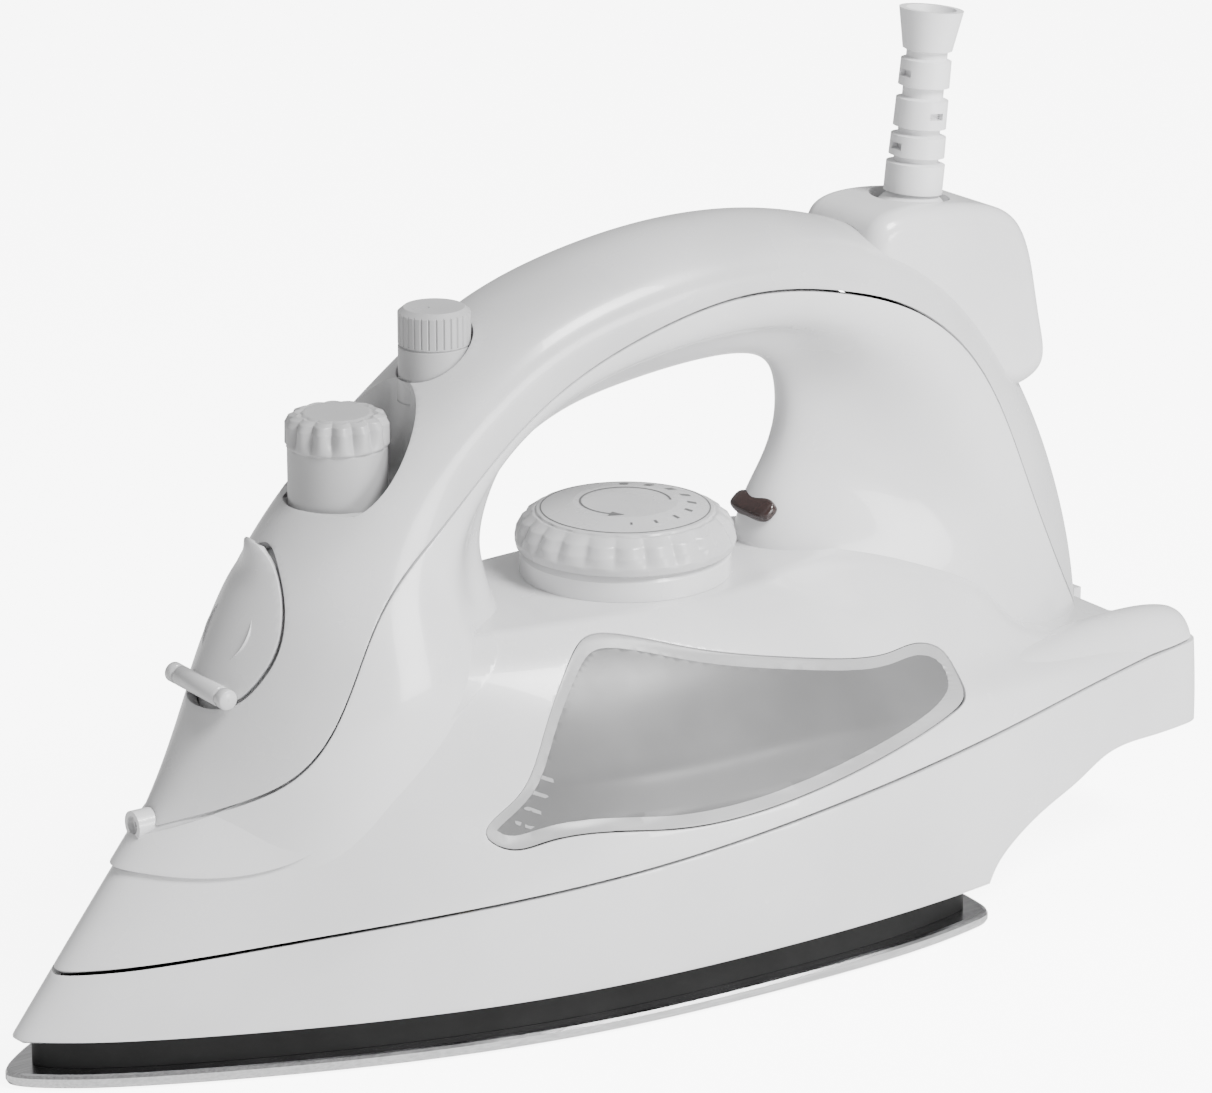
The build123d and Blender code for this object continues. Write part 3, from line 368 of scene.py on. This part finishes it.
# curves on the side of the iron, as X and Z
SEAM_LINE = [(115, 20.0), (95, 21.8), (57, 26.6), (0, 32.2), (-60, 38.0), (-106, 42.8), (-137, 45.4),
             (-190, 46.2)]
HANDLE_SEAM = [(86, 44.6), (72.5, 48.9), (58.5, 54.6), (45, 66.5), (34.7, 85.5), (18.4, 102.4),
               (-11.2, 125.0), (-35.9, 135.6), (-61, 139.9), (-86.9, 136.4), (-113.8, 123.7),
               (-127.9, 106.3), (-138.3, 84.3), (-150.6, 61.4), (-172, 42)]
CRESCENT_EDGE = [(86, 41.6), (78.4, 40.5), (69.3, 39.8), (50.5, 43.5), (30.3, 58.0), (18.4, 67.0),
                 (9.0, 73.4), (3.0, 79.6), (0.0, 90.0)]
WINDOW = [(17.5, 44.5), (14.0, 41.6), (6, 41.9), (-22, 40.6), (-48, 41.0), (-74, 45.0), (-96, 50.2),
          (-101.5, 53.0), (-102.8, 57.2), (-97.5, 61.6), (-84, 63.6), (-60, 67.6), (-34, 73.6), (-22, 77.0),
          (-14, 77.4), (-7.5, 73.6), (2, 62.4), (12, 50.4)]
HEEL_CURVE = [(-104.5, 8.0), (-106.8, 13.0), (-112.5, 18.0), (-122.5, 22.5), (-133.5, 25.6), (-142.0, 28.4),
              (-160, 28.2), (-195, 27.6)]
LEVEL_TICKS = [(9.0, 45.5), (7.2, 48.4), (5.4, 51.3), (3.6, 54.2)]     # marks beside the water
PUMP_WELL, SCOOP, STEAM_WELL = (28.0, 11.1), (26.5, 14.6), (4.6, 7.9)    # middle X and radius
PUMP_FLOOR, SCOOP_FLOOR, STEAM_FLOOR = 95.9, 108.0, 124.9
NOTCH_X, NOTCH_HALF = -164.5, 13.5
FLAP_HINGE, FLAP_TOP = (60.9, 74.6), (45.2, 101.3)
NOZZLE_Z, NOZZLE_HOLE = 48.5, 3.15
FACE_X = 60.0                # the nozzle's hole is in front of this
LAP_END_X = -2.0             # the crescent's lap ends here, inside the handle
LAP_PROUD = 0.9              # how far the lap stands out from the body
FLANK_Y = 18.0               # the windows are cut only this far out from the middle
DECK_Z = 79.5


def height_line(points):
    """A curve's height as a function of X."""
    line = np.array(sorted(points), float)
    curve = smooth_curve(line[:, 0], line[:, 1:])
    return lambda x: curve(np.clip(x, line[0, 0], line[-1, 0]))[:, 0]


def path_field(points, closed=False):
    """Signed distance in the X-Z plane from a smooth path; positive on its left."""
    path = np.array(points, float)
    if closed:
        path = np.concatenate([path[-3:], path, path[:3]])
    knots = np.concatenate([[0], np.cumsum(np.linalg.norm(np.diff(path, axis=0), axis=1))])
    start, end = (knots[3], knots[-3]) if closed else (knots[0], knots[-1])
    fine = smooth_curve(knots, path)(np.linspace(start, end, 240))
    a, b = fine[:-1], fine[1:]
    run = b - a
    length = (run ** 2).sum(axis=1)

    def field(spots):
        best = np.full(len(spots), 1e9)
        sign = np.ones(len(spots))
        for first, step, size in zip(a, run, length):
            away = spots - first
            share = np.clip(away @ step / size, 0, 1)
            gap = np.hypot(*(away - share[:, None] * step).T)
            side = step[0] * away[:, 1] - step[1] * away[:, 0]
            nearer = gap < best
            best = np.where(nearer, gap, best)
            sign = np.where(nearer, np.sign(side), sign)
        return best * sign
    return field


body_seam = height_line(SEAM_LINE)
handle_seam = height_line(HANDLE_SEAM)
heel_line = path_field(HEEL_CURVE)
crescent = path_field(CRESCENT_EDGE[::-1])
window_edge = path_field(WINDOW[::-1], closed=True)


def outline(z, beam, tail, tail_half, corner, bulge=1.0, grow=0.0):
    """A closed teardrop at a height, from the tail's middle round the left side and back; grow swells it."""
    nose = 104.4 - 0.79 * (z - 11.1) + 1.6 * grow
    beam, tail, tail_half = beam + grow, tail - grow, tail_half + grow
    corner = min(corner, 0.7 * tail_half)
    shares = [(0.025, 0.106), (0.087, 0.242), (0.222, 0.456), (0.44, 0.726), (0.676, 0.916)]
    side = [(nose, 0.0)] + [(nose - u * (nose - BEAM_X), v * beam) for u, v in shares]
    side += [(BEAM_X, beam), ((BEAM_X + tail + corner) / 2, tail_half + (beam - tail_half) * 0.78)]
    flat = tail_half - 1.1 * corner
    side += [(tail + corner, tail_half), (tail + 0.25 * corner, tail_half - 0.32 * corner),
             (tail, flat), (tail - 0.6 * bulge, 0.6 * flat), (tail - bulge, 0.0)]
    left = [(x, y, z) for x, y in reversed(side)]
    return left + [(x, -y, z) for x, y, z in left[-2::-1]]


def lower_hull():
    """The skirt's outer surface, from its lower edge to above the seam."""
    levels = [(9.6, 49.4, 31.0), (22.0, 50.4, 31.6), (34.0, 50.2, 31.6), (47.5, 48.2, 30.6)]
    rows = [outline(z, beam, TAIL_X, half, 7.0, 1.5) for z, beam, half in levels]
    return skin(rows, 420, 36)


def upper_hull(grow=0.0):
    """The body above the seam, which runs out over the tail; grow swells it outwards."""
    levels = [(20.0, 50.4, -177.5, 31.4, 7), (34.0, 50.2, -177.5, 31.4, 7), (46.0, 48.4, -176.5, 30.6, 8),
              (57.0, 45.0, -133, 29, 14), (66.0, 40.0, -125, 26, 14), (73.0, 34.5, -111, 24, 14),
              (77.5, 28.5, -98, 21, 14), (DECK_Z, 24.0, -90, 18, 14)]
    rows = [outline(z, beam, tail, half, corner, grow=grow) for z, beam, tail, half, corner in levels]
    return skin(rows, 420, 64)


def deck():
    """The level top of the body, inside the highest outline."""
    ring = upper_hull()[-1]
    middle = np.array((-30.0, 0.0, DECK_Z))
    rows = [middle + (ring - middle) * share for share in np.linspace(0.02, 1, 12)]
    return np.array(rows)


# outer point, inner point, half width, bow, waist, edge radius: nose foot, over the top, rear foot
HANDLE_STATIONS = [
    ((82.6, 37.5), (-4, 42), 25.0, 0.22, 0.95, 18),
    ((78.2, 44.6), (-8, 56), 26.0, 0.32, 0.97, 18),
    ((71.9, 53.6), (-10, 67), 26.4, 0.46, 0.97, 18),
    ((65.2, 65.5), (-9, 77.5), 26.0, 0.58, 0.93, 15),
    ((58.0, 80.5), (-6, 87), 23.6, 0.68, 0.88, 11),
    ((48.0, 97.5), (-5, 95), 20.8, 0.74, 0.84, 9),
    ((34.0, 112.8), (-7.5, 103), 19.0, 0.80, 0.84, 8),
    ((13.5, 129.0), (-13.5, 111), 18.2, 0.86, 0.82, 8),
    ((-8.0, 142.4), (-25.5, 117.2), 18.0, 0.90, 0.82, 8),
    ((-33.0, 150.2), (-41.5, 120.6), 18.0, 0.90, 0.82, 8),
    ((-61.0, 153.1), (-60, 122.3), 18.0, 0.90, 0.82, 8),
    ((-90.0, 149.2), (-74, 121.3), 18.0, 0.90, 0.82, 8),
    ((-116.0, 137.2), (-80, 117.5), 18.0, 0.88, 0.80, 7),
    ((-134.5, 119.5), (-82, 112.0), 18.2, 0.84, 0.76, 6.5),
    ((-147.0, 100.5), (-82, 104.5), 18.6, 0.80, 0.72, 6.5),
    ((-155.0, 83.0), (-79.5, 97.0), 19.0, 0.76, 0.72, 7.5),
    ((-160.2, 66.0), (-75.5, 89.5), 20.0, 0.74, 0.78, 10),
    ((-162.5, 52.0), (-73, 80.0), 21.5, 0.72, 0.84, 13),
    ((-163.0, 42.0), (-74, 68.0), 22.5, 0.72, 0.85, 14),
]


def half_ring(outer, inner, half, bow, waist, edge):
    """Points down the left side of one cross-section of the handle, from its outer to its inner end."""
    far = np.array((outer[0], 0.0, outer[1]))
    run = np.array((inner[0], 0.0, inner[1])) - far
    round_start = 1 - 0.8 * edge / np.linalg.norm(run)
    shares = [(0.0, 0.0), (0.05, 0.55 * bow), (0.17, 0.3 + 0.62 * bow), (0.42, 1.0), (0.70, waist),
              (round_start, 0.98 * edge / half), (1.0, 0.0)]
    return [far + run * a + np.array((0, b * half, 0)) for a, b in shares]


def handle_grid():
    """The handle's outer surface as one grid, from the nose foot over the crown to the rear foot."""
    return mirrored(skin([half_ring(*station) for station in HANDLE_STATIONS], 70, 260))


FLAP_ORIGIN = np.array((FLAP_HINGE[0], 0, FLAP_HINGE[1]))
FLAP_UP = np.array((FLAP_TOP[0] - FLAP_HINGE[0], 0, FLAP_TOP[1] - FLAP_HINGE[1]))
FLAP_LENGTH = np.linalg.norm(FLAP_UP)
FLAP_UP = FLAP_UP / FLAP_LENGTH
FLAP_OUT = np.array((FLAP_UP[2], 0, -FLAP_UP[0]))
FLAP_REACH = 12.0            # the flap's outline cuts only this close to its plane
DUCT_UP = 12.5               # middle of the filler mouth, up from the hinge
MOUTH_R = 7.4
RECESS_DEPTH = 2.9
LID_PROUD = 0.5
LIP_START, LIP_RUN = 21.0, 9.0    # where the lid's lifted lip starts, and its length
LIP_RISE, LIP_HALF = 4.2, 5.0     # its height and half width


def knuckle(half_length):
    """Profile of a hinge knuckle with softened ends."""
    end, side = half_length, half_length - 0.3
    return [(0.1, end), (1.8, end), (2.1, side), (2.1, -side), (1.8, -end), (0.1, -end)]


def flap_field(points, grow=0.45):
    """Positive outside the filler flap's outline, over the front face only."""
    half = [(0, -3.4), (7.6, -1.2), (11.6, 6.0), (12.6, 13.0), (10.6, 21.0), (6.2, 27.2), (0, FLAP_LENGTH)]
    around = half + [(-x, y) for x, y in half[-2:0:-1]]
    away = points - FLAP_ORIGIN
    spots = np.stack([away[:, 1], away @ FLAP_UP], 1)
    field = -path_field(around, closed=True)(spots) - grow
    return np.where(np.abs(away @ FLAP_OUT) < FLAP_REACH, field, ELSEWHERE)


def turned_on(profile, origin, axis, across):
    """A turned surface about any axis, from (radius, distance along the axis) corners."""
    turns = np.linspace(0, 2 * np.pi, 49)
    other = np.cross(axis, across)
    grid = [[origin + axis * along + radius * (across * np.cos(t) + other * np.sin(t)) for t in turns]
            for radius, along in profile]
    return triangles(np.array(grid))


def make_flap():
    """The filler flap with its lifted lip, hinge barrel and boss, and the recess that it closes."""
    mesh = triangles(handle_grid())
    side = np.array((0.0, 1.0, 0.0))
    recess = clip(*mesh, lambda p: -flap_field(p))
    recess[0][:] -= RECESS_DEPTH * FLAP_OUT
    mouth = FLAP_ORIGIN + DUCT_UP * FLAP_UP
    recess = clip(*recess, lambda p: np.hypot(p[:, 1], (p - mouth) @ FLAP_UP) - MOUTH_R)
    rim = turned_on([(MOUTH_R, 0.0), (MOUTH_R, -6.5)], mouth, FLAP_OUT, side)
    ears = [turned_on(knuckle(1.2), FLAP_ORIGIN + side * y, side, FLAP_OUT) for y in (9.6, -9.6)]
    add_piece("flap_recess", joined(recess, rim, *ears), "cover_plastic")
    lid = clip(*mesh, lambda p: -flap_field(p, grow=0.0))
    lid = clip(*lid, lambda p: (p - FLAP_ORIGIN) @ FLAP_UP - 0.6)
    along = (lid[0] - FLAP_ORIGIN) @ FLAP_UP
    lift = np.clip((along - LIP_START) / LIP_RUN, 0, 1)
    near_middle = np.exp(-(lid[0][:, 1] / LIP_HALF) ** 2)
    lid[0][:] += np.outer(LID_PROUD + LIP_RISE * lift ** 2 * near_middle, FLAP_OUT)
    add_piece("flap_lid", lid, "cover_plastic", body="flap", wall=1.8, stands_for=["filler_flap"], edge=0.4)
    barrel = turned_on(knuckle(7.8)[::-1], FLAP_ORIGIN, side, FLAP_OUT)
    boss = turned_on([(6.2, -0.8), (6.2, -4.0), (5.8, -4.3), (0.1, -4.3)], mouth, FLAP_OUT, side)
    add_piece("flap_hinge", joined(barrel, boss), "cover_plastic", body="flap")


def from_axis(points, well):
    """How far points are outside a well's wall."""
    return np.hypot(points[:, 0] - well[0], points[:, 1]) - well[1]


ABOVE_ALL = 200              # higher than any part of the iron


def make_wells():
    """The round wells that the two knobs stand in, with the scoop behind the front one."""
    mesh = triangles(handle_grid())
    tree = BVHTree.FromPolygons(mesh[0].tolist(), mesh[1].tolist())
    turns = np.linspace(0, 2 * np.pi, 97)

    def surface(x, y):
        hit = tree.ray_cast(Vector((x, y, ABOVE_ALL)), Vector((0, 0, -1)))[0]
        return hit[2] if hit else 0.0

    def wall(well, low, high):
        """A well's wall, from its floor up to the cover or to a ledge."""
        x, y = well[0] + well[1] * np.cos(turns), well[1] * np.sin(turns)
        top = [min(high, max(low, surface(*spot))) for spot in zip(x, y)]
        shares = np.linspace(0, 1, 9)[:, None]
        heights = low + shares * (np.array(top) - low)
        return triangles(np.stack(np.broadcast_arrays(x, y, heights), axis=2))

    def disc(well, height):
        """A level floor or ledge, with a pinhole in its middle."""
        shares = np.linspace(0.5 / well[1], 1, 12)[:, None]
        x, y = well[0] + shares * well[1] * np.cos(turns), shares * well[1] * np.sin(turns)
        return triangles(np.stack(np.broadcast_arrays(x, y, height), axis=2))

    ledge = clip(*disc(SCOOP, SCOOP_FLOOR), lambda p: from_axis(p, PUMP_WELL))
    ledge = clip(*ledge, lambda p: np.array([surface(x, y) for x, y, _ in p]) - SCOOP_FLOOR)
    cups = joined(wall(PUMP_WELL, PUMP_FLOOR, SCOOP_FLOOR), disc(PUMP_WELL, PUMP_FLOOR),
                  wall(SCOOP, SCOOP_FLOOR, ABOVE_ALL), ledge, wall(STEAM_WELL, STEAM_FLOOR, ABOVE_ALL),
                  disc(STEAM_WELL, STEAM_FLOOR))
    add_piece("knob_wells", cups, "cover_plastic")


def nozzle_field(points):
    """Positive outside the nozzle's hole in the front face."""
    away = np.hypot(points[:, 1], points[:, 2] - NOZZLE_Z) - NOZZLE_HOLE
    return np.where(points[:, 0] > FACE_X, away, ELSEWHERE)


def make_handle():
    """The outer cover, the inner shell under it, and the crescent that laps over the body."""
    mesh = triangles(handle_grid())
    cover = clip(*mesh, lambda p: p[:, 2] - handle_seam(p[:, 0]) - SEAM_GAP / 2)
    cover = clip(*cover, lambda p: from_axis(p, PUMP_WELL))
    cover = clip(*cover, lambda p: from_axis(p, STEAM_WELL))
    cover = clip(*cover, lambda p: np.maximum(from_axis(p, SCOOP), SCOOP_FLOOR - p[:, 2]))
    cover = clip(*cover, flap_field)
    cover = clip(*cover, lambda p: nozzle_field(p))
    add_piece("handle_cover", cover, "cover_plastic", wall=WALL, stands_for=["handle_top"])
    inner = clip(*mesh, lambda p: handle_seam(p[:, 0]) - SEAM_GAP / 2 - p[:, 2])
    lap = triangles(upper_hull(LAP_PROUD))
    lap = clip(*lap, lambda p: crescent(p[:, ::2]))
    lap = clip(*lap, lambda p: handle_seam(p[:, 0]) - SEAM_GAP / 2 - p[:, 2])
    lap = clip(*lap, lambda p: p[:, 0] - LAP_END_X)
    add_piece("handle_shell", inner, "white_plastic", wall=WALL, stands_for=["handle_lower"])
    add_piece("handle_lap", lap, "white_plastic", wall=0.8)


HEEL_FOOT_Z = 45.2


def heel_foot(side):
    """One of the two barrels behind the rear column, closed by a rounded end."""
    # X, middle Y and radius
    stations = [(-92, 37.0, 2.5), (-105, 34.5, 6.0), (-118, 31.0, 8.2), (-132, 28.4, 9.0),
                (-145, 26.0, 9.2), (-163, 23.6, 8.8), (-172, 22.8, 7.6), (-175.4, 22.5, 6.0),
                (-176.5, 22.4, 3.6), (-176.6, 22.4, 0.2)]
    turns = np.linspace(0, 2 * np.pi, 81)
    rows = np.array([[(x, side * (y + r * np.cos(t)), HEEL_FOOT_Z + r * np.sin(t)) for t in turns]
                     for x, y, r in stations])
    knots = spacing(rows, 0)
    fine = smooth_curve(knots, rows.reshape(len(rows), -1))(np.linspace(0, 1, 70))
    return triangles(fine.reshape(70, len(turns), 3))


def tick_field(points, x, z):
    """Positive inside a short slanted stroke about a place on the body's side."""
    along, across = points[:, 0] - x, points[:, 2] - z
    return np.minimum(1.9 - np.abs(along), 0.42 - np.abs(across - 0.45 * along))


PANE_SINK, PANE_DISH = 0.35, 1.0    # how far the window sinks at its edge, and further inside
PANE_EDGE = 2.4                     # width of the slope between the two
PANE_PLAY = 0.3                     # gap between the window and the body
FRAME_WIDTH = 2.6
PRINT_PROUD = 0.08                  # how far the level marks stand out


def on_flank(points, field, elsewhere):
    """A field that holds only on the body's sides."""
    return np.where(np.abs(points[:, 1]) > FLANK_Y, field, elsewhere)


def notch_field(points):
    """Positive outside the notch between the two heel feet."""
    return np.maximum(points[:, 0] - NOTCH_X, np.abs(points[:, 1]) - NOTCH_HALF)


def make_body():
    """The body over the tank, with its two heel feet."""
    hull = joined(triangles(upper_hull()), triangles(deck()))
    hull = clip(*hull, lambda p: p[:, 2] - body_seam(p[:, 0]) - SEAM_GAP / 2)
    hull = clip(*hull, lambda p: on_flank(p, -window_edge(p[:, ::2]), ELSEWHERE))
    hull = clip(*hull, notch_field)
    add_piece("body_cover", hull, "white_plastic", wall=WALL, stands_for=["body_shell"])
    for side, name in ((1, "heel_foot_left"), (-1, "heel_foot_right")):
        foot = clip(*heel_foot(side), lambda p: p[:, 2] - body_seam(p[:, 0]) - SEAM_GAP / 2)
        add_piece(name, foot, "white_plastic", wall=1.2)


def make_windows():
    """The two smoked windows, dished below the body, each with a pale frame and level marks."""
    pane = triangles(upper_hull())
    pane = clip(*pane, lambda p: on_flank(p, window_edge(p[:, ::2]) - PANE_PLAY, -ELSEWHERE))
    depth = np.clip((window_edge(pane[0][:, ::2]) - PANE_PLAY) / PANE_EDGE, 0, 1)
    pane[0][:, 1] -= np.sign(pane[0][:, 1]) * (PANE_SINK + PANE_DISH * depth ** 2 * (3 - 2 * depth))
    inner = clip(*pane, lambda p: window_edge(p[:, ::2]) - FRAME_WIDTH)
    frame_ring = clip(*pane, lambda p: FRAME_WIDTH - window_edge(p[:, ::2]))
    add_piece("window_pane", inner, "smoked_window", wall=1.6, stands_for=["tank_window"])
    add_piece("window_frame", frame_ring, "window_frame", wall=1.6)
    ticks = joined(*[clip(*inner, lambda p: tick_field(p, x, z)) for x, z in LEVEL_TICKS])
    ticks[0][:, 1] += np.sign(ticks[0][:, 1]) * PRINT_PROUD
    add_piece("level_marks", ticks, "window_frame")


def make_skirt():
    """The skirt below the seam, and the two cheeks and the back of its notch."""
    mesh = triangles(lower_hull())
    mesh = clip(*mesh, lambda p: body_seam(p[:, 0]) - SEAM_GAP / 2 - p[:, 2])
    mesh = clip(*mesh, lambda p: -heel_line(p[:, ::2]))
    mesh = clip(*mesh, notch_field)
    add_piece("skirt_cover", mesh, "white_plastic", wall=WALL, stands_for=["skirt"])
    plan = [(TAIL_X, NOTCH_HALF), (NOTCH_X, NOTCH_HALF), (NOTCH_X, -NOTCH_HALF), (TAIL_X, -NOTCH_HALF)]
    rows = np.array([[(x, y, z) for x, y in plan] for z in np.linspace(24, 48, 60)])
    sides = clip(*triangles(rows), lambda p: body_seam(p[:, 0]) - SEAM_GAP / 2 - p[:, 2])
    sides = clip(*sides, lambda p: -heel_line(p[:, ::2]))
    add_piece("skirt_notch", sides, "white_plastic")


# ---- turned pieces and print -------------------------------------------------------------------
DIAL_X, PUMP_X = -42.5, PUMP_WELL[0]
DIAL_CROWN = [(11, 94.5), (18.6, 93.0)]          # radius and height, as in the profiles below
DIAL_PROFILE = [(0.1, 94.6), *DIAL_CROWN, (19.0, 92.5), (19.5, 92.6), (21.8, 91.0), (23.0, 88.8),
                (23.3, 87.0), (22.9, 85.3), (20.6, 85.3)]
PUMP_PROFILE = [(0.1, 125.9), (6.8, 125.9), (7.4, 125.5), (8.4, 125.8), (9.8, 125.2), (10.55, 123.8),
                (10.6, 119.6), (10.1, 119.2), (10.1, 101.5), (9.0, 101.5)]
SCALE_START, SCALE_STEP = 60, 22                 # bearings on the dial, in degrees
ARROW_R, ARROW_START, ARROW_END = 9.45, 150, 395
DIAL_PRINT_PROUD = 0.07


def turned(profile, x, waves, depth, band):
    """A turned surface about an upright axis, fluted by a number of waves within a band of heights."""
    corners = np.array(profile)
    along = np.concatenate([[0], np.cumsum(np.linalg.norm(np.diff(corners, axis=0), axis=1))])
    fine = np.unique(np.concatenate([along, np.linspace(0, along[-1], 90)]))
    radius, height = np.interp(fine, along, corners[:, 0]), np.interp(fine, along, corners[:, 1])
    turns = np.linspace(0, 2 * np.pi, 361)
    middle, reach = sum(band) / 2, (band[1] - band[0]) / 2
    in_band = np.clip(1 - ((height - middle) / reach) ** 2, 0, 1)
    near_rim = np.clip((radius - 0.6 * radius.max()) / 3, 0, 1)
    share = in_band * near_rim
    flute = np.abs(np.sin(waves * turns / 2)) - 1
    fluted = radius[:, None] + depth * share[:, None] * flute
    across, side = x + fluted * np.cos(turns), fluted * np.sin(turns)
    return triangles(np.stack(np.broadcast_arrays(across, side, height[:, None]), axis=2))


def dial_mark(inner, outer, start, end):
    """A printed band on the dial between two radii and two bearings in degrees."""
    radii = np.linspace(inner, outer, 4)[:, None]
    turns = np.radians(np.linspace(start, end, max(6, int(abs(end - start) / 2))))
    crown = [(0, DIAL_PROFILE[0][1])] + DIAL_CROWN
    height = np.interp(radii, *zip(*crown)) + DIAL_PRINT_PROUD
    x, y = DIAL_X + radii * np.cos(turns), radii * np.sin(turns)
    return triangles(np.stack(np.broadcast_arrays(x, y, height), axis=2))


def make_dial():
    """The fluted temperature dial, with a scale of growing dots and a curved arrow."""
    add_piece("dial_cap", turned(DIAL_PROFILE, DIAL_X, 22, 1.1, (86.6, 93.0)), "dial_plastic", body="dial",
              stands_for=["thermostat_dial"])
    marks = [dial_mark(17.6, 17.9, 0, 360), dial_mark(9.2, 9.7, ARROW_START, ARROW_END)]
    for step in range(9):
        half = 1.0 + 0.35 * step
        bearing = SCALE_START + SCALE_STEP * step
        marks.append(dial_mark(13.4 - 0.12 * step, 14.4 + 0.12 * step, bearing - half, bearing + half))
    for step in range(6):                        # the arrow's head narrows to its tip
        reach = 1.3 * (1 - step / 6)
        start = ARROW_END + 3 * step
        marks.append(dial_mark(ARROW_R - reach, ARROW_R + reach, start, start + 3))
    add_piece("dial_print", joined(*marks), "print_ink", body="dial")


def make_pump_cap():
    """The front push button, with a ring of petals round its top."""
    add_piece("pump_cap", turned(PUMP_PROFILE, PUMP_X, 14, 1.5, (119.0, 128.0)), "knob_plastic",
              body="spray_button", stands_for=["pump_button"])


LENS_PLACE = (-75.8, 87.4)      # X and Z


def make_lens():
    """The pilot lamp's dark lens, a rounded pebble that stands out under the grip."""
    theta, phi = np.linspace(0.01, np.pi - 0.01, 24)[:, None], np.linspace(0, 2 * np.pi, 49)
    across, along, thick = 2.7, 6.6, 1.8

    def rounded(value):
        return np.sign(value) * np.abs(value) ** 0.6

    x = across * rounded(np.sin(theta)) * rounded(np.cos(phi))
    y = along * rounded(np.cos(theta)) * np.ones_like(phi)
    z = thick * rounded(np.sin(theta)) * rounded(np.sin(phi))
    lean = np.radians(-40)
    lens_x = LENS_PLACE[0] + x * np.cos(lean) - z * np.sin(lean)
    lens_z = LENS_PLACE[1] + x * np.sin(lean) + z * np.cos(lean)
    grid = np.stack([lens_x, y, lens_z], 2)
    add_piece("lamp_lens", triangles(grid), "lens_plastic", stands_for=["pilot_lens"])


# ---- carried-over CAD nodes --------------------------------------------------------------------
NODE_MATERIALS = {
    "steel": ["soleplate"],
    "cast_metal": ["sole_casting", "chamber_cover"],
    "heater_sheath": ["heating_element"],
    "screw_steel": ["chamber_screws", "body_screws", "terminal_screws", "flap_pin"],
    "spring_steel": ["pump_spring"],
    "black_plastic": ["heat_band", "thermostat"],
    "white_plastic": ["skirt", "body_shell", "handle_lower", "dial_collar", "spray_nozzle", "cord_hood"],
    "cover_plastic": ["handle_top", "filler_flap"],
    "knob_plastic": ["pump_button", "steam_knob", "pump_plunger", "pump_cylinder", "dial_shaft"],
    "dial_plastic": ["thermostat_dial"],
    "guard_plastic": ["cord_guard", "cord_ball", "swivel_ring", "swivel_retainer", "cord_clamp"],
    "smoked_window": ["tank_window"],
    "clear_tank": ["water_tank", "filler_duct"],
    "seal_rubber": ["flap_seal", "valve_gasket"],
    "hose_rubber": ["spray_hose"],
    "brass": ["valve_body", "steam_needle"],
    "ceramic_block": ["terminal_block", "thermal_fuse"],
    "lens_plastic": ["pilot_lens"],
    "lamp_glass": ["pilot_lamp"],
}


def dress_nodes():
    """Every CAD node gets the material of its slot."""
    for slot, names in NODE_MATERIALS.items():
        for name in names:
            data = NODES[name].data
            data.materials.clear()
            data.materials.append(MATERIALS[slot])


MATERIALS = make_materials()
add_camera()
add_surroundings()
add_floor()
dress_nodes()
make_handle()
make_wells()
make_flap()
make_body()
make_windows()
make_skirt()
make_dial()
make_pump_cap()
make_lens()
